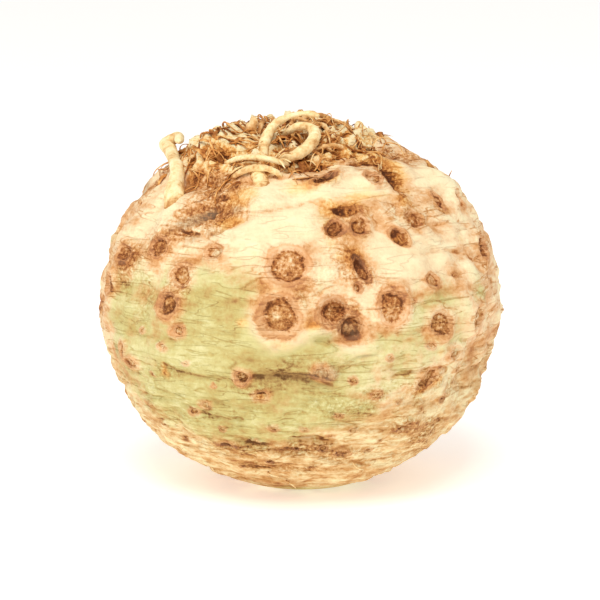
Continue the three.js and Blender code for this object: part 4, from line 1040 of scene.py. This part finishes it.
    # Low down the skin is a crust of thin brown and pale layers.
    crust = add(tree, "Math", {0: noises["layers"], 1: 0.555}, operation="SUBTRACT")[0]
    crust = add(tree, "Math", {0: crust, 1: masks["low"]}, operation="MULTIPLY")[0]
    # Painted shade and highlight: hollows of the fine relief are painted darker and its raised parts paler,
    # more strongly in the tuft, and broad swellings a little paler.
    hollow_shade_and_ridge_light = add(tree, "MapRange", {0: fine_hollow, 1: -1.0, 2: 0.6, 3: -0.16, 4: 0.10})[0]
    tuft_hollow_shade_and_ridge_light = add(tree, "Math", {0: hollow_shade_and_ridge_light, 1: masks["tuft"]}, operation="MULTIPLY")[0]

    tone = 0.535 - 0.5 * (0.36 + 0.55 + 0.26 + 0.36 + 0.36)
    for term, weight in (
        (noises["broad"], 0.36), (noises["cork"], 0.55), (noises["crumb"], 0.26),
        (noises["thread"], 0.36), (noises["fold"], 0.36), (speckle, 0.75), (hollow_shade_and_ridge_light, 0.4), (tuft_hollow_shade_and_ridge_light, 0.8),
        (broad_relief_light_and_shade, 0.03), (masks["brown"], -0.14), (masks["dark"], -0.21), (masks["tuft"], 0.07),
        (masks["amber"], -0.11), (folds, -0.17), (halo, -0.07), (crust, 0.75), (ring, 1.0),
    ):
        inputs = {0: term, 1: weight, 2: tone}
        tone = add(tree, "Math", inputs, operation="MULTIPLY_ADD")[0]
    # Young skin is smooth and even, so it hides most of what is under it.
    tone = add(tree, "Mix", {0: masks["cream"], 2: tone, 3: 0.68}, data_type="FLOAT")[0]

    ramps = {}
    for name, colours in (
        ("warm", "#693817 #A56431 #CC9053 #E2B380 #ECCCA0 #F5DFB3 #FBF0C6"),
        ("fibrous", "#5E3010 #9E5C24 #D08A40 #E7AE62 #F1CA88 #F8DCA2 #FCEABA"),
        ("leafy", "#6B4A24 #997643 #B4995A #BEAD68 #C5BA76 #CEC584 #DED69E"),
    ):
        stops = zip((0.10, 0.24, 0.36, 0.46, 0.54, 0.62, 0.74), colours.split())
        ramps[name] = add(tree, "ValToRGB", {0: tone}, stops)[0]
    # The rim of a scar is flushed.
    stops = ((0.33, 0.0), (0.40, 0.45), (0.52, 0.35), (0.66, 0.0))
    flush = add(tree, "ValToRGB", {0: across}, stops)[0]
    masks["flush"] = add(tree, "Math", {0: flush, 1: strength}, operation="MULTIPLY")[0]
    skin = ramps["warm"]
    for name, over in (
        ("straw", ramps["leafy"]), ("green", ramps["leafy"]), ("flush", linear("#E0A67A")),
        ("tuft", ramps["fibrous"]), ("amber", ramps["fibrous"]), ("grey", linear("#95866A")),
    ):
        skin = add(tree, "Mix", {0: masks[name], 6: skin, 7: over}, data_type="RGBA")[2]

    rough = add(tree, "MapRange", {0: noises["cork"], 1: 0.3, 2: 0.7, 3: 0.6, 4: 0.85})[0]
    height = noises["thread"]
    for term, weight in ((noises["crumb"], 0.5), (speckle, 1.2), (folds, -0.6)):
        inputs = {0: term, 1: weight, 2: height}
        height = add(tree, "Math", inputs, operation="MULTIPLY_ADD")[0]
    finish_material(tree, skin, rough, height, depth=0.9 * MM)
    return material


# The size of the blotches on root bark, in mm
BLOTCH_SIZE = 5.263


def root_material(name, colours, crumb_size):
    """Raw root bark: a matt hide, paler where it is rubbed, and painted darker as shade where it lies close
    to the skin.
    """
    material, tree, place = start_material(name)
    inputs = {"Vector": place, "Scale": 1 / (BLOTCH_SIZE * MM), "Detail": 5, "Roughness": 0.65}
    blotch = add(tree, "TexNoise", inputs)[0]
    crumb = add(tree, "TexNoise", {"Vector": place, "Scale": 1 / (crumb_size * MM), "Detail": 4})[0]
    clear = add(tree, "Attribute", attribute_name="clear")["Fac"]
    tone = add(tree, "Math", {0: crumb, 1: 0.5, 2: blotch}, operation="MULTIPLY_ADD")[0]
    # Painted shade: the bark is darker where the root stands close to the skin.
    shade = add(tree, "Math", {0: clear, 1: 0.2, 2: tone}, operation="MULTIPLY_ADD")[0]
    shade = add(tree, "MapRange", {0: shade, 1: 0.68, 2: 1.08, 3: 0.0, 4: 1.0})[0]
    stops = [(i / (len(colours) - 1), colour) for i, colour in enumerate(colours)]
    colour = add(tree, "ValToRGB", {0: shade}, stops=stops)[0]
    finish_material(tree, colour, 0.75, tone, depth=0.5 * MM)
    return material


GROUND_HALF_WIDTH = 4


def make_ground():
    """Plain white paper under soft daylight."""
    bm = bmesh.new()
    bmesh.ops.create_grid(bm, x_segments=1, y_segments=1, size=GROUND_HALF_WIDTH)
    mesh = bpy.data.meshes.new("ground")
    bm.to_mesh(mesh)
    bm.free()
    material = bpy.data.materials.new("white_paper")
    material.use_nodes = True
    shader = material.node_tree.nodes["Principled BSDF"]
    shader.inputs["Base Color"].default_value = linear("#F9F7F5")
    shader.inputs["Roughness"].default_value = 0.9
    shader.inputs["Specular IOR Level"].default_value = 0.1
    # The paper lies on a light table, so shadows on it stay pale.
    shader.inputs["Emission Color"].default_value = linear("#FEF7F1")
    shader.inputs["Emission Strength"].default_value = 0.42
    mesh.materials.append(material)
    ground = bpy.data.objects.new("ground", mesh)
    bpy.context.collection.objects.link(ground)


def make_light(name, place, size, power):
    """A soft square light of a power in watts at a place in metres, turned to the root."""
    light = bpy.data.lights.new(name, "AREA")
    light.size = size
    light.energy = power
    lamp = bpy.data.objects.new(name, light)
    lamp.location = place
    lamp.rotation_euler = (Vector(place) - Vector(MIDDLE * MM)).to_track_quat("Z", "Y").to_euler()
    bpy.context.collection.objects.link(lamp)


def make_lights():
    world = bpy.data.worlds.new("daylight")
    world.use_nodes = True
    background = world.node_tree.nodes["Background"]
    background.inputs["Color"].default_value = (1, 1, 1, 1)
    background.inputs["Strength"].default_value = 0.62
    bpy.context.scene.world = world
    make_light("window", (-0.1, -0.9, 1.3), 0.7, 13)
    make_light("fill", (-1.2, -0.8, 0.5), 1.0, 2.6)


def make_camera():
    """The photograph's view: the root's middle comes at its pixel in a frame of 600 by 600."""
    camera = bpy.data.cameras.new("camera")
    camera.sensor_width = 36
    camera.lens = camera.sensor_width * VIEW_DISTANCE * PIXELS_PER_MM / FRAME_PIXELS
    camera.clip_start = 0.01
    eye = bpy.data.objects.new("camera", camera)
    aside = (FRAME_PIXELS / 2 - MIDDLE_PIXEL[0]) / PIXELS_PER_MM
    above = (MIDDLE_PIXEL[1] - FRAME_PIXELS / 2) / PIXELS_PER_MM
    place = MIDDLE + VIEW_DISTANCE * TO_VIEWER + aside * VIEW_RIGHT + above * VIEW_UP
    eye.location = Vector(place * MM)
    eye.rotation_euler = Vector(TO_VIEWER).to_track_quat("Z", "Y").to_euler()
    bpy.context.collection.objects.link(eye)
    bpy.context.scene.camera = eye


bpy.context.scene.view_settings.view_transform = "Standard"
make_camera()
make_lights()
make_ground()
make_flesh(skin_material())
make_roots(root_material("pale_root_bark", ["#BD8448", "#E4BB7F", "#F5DBA2", "#FCEBBD"], 1.1))
make_fibres(
    root_material("brown_root_bark", ["#78451C", "#B0743A", "#D8A262", "#F0CC94"], 1.3),
    root_material("dry_root_fibre", ["#8A4B1C", "#C88440", "#E8B068", "#F8DAA0"], 1.6),
)
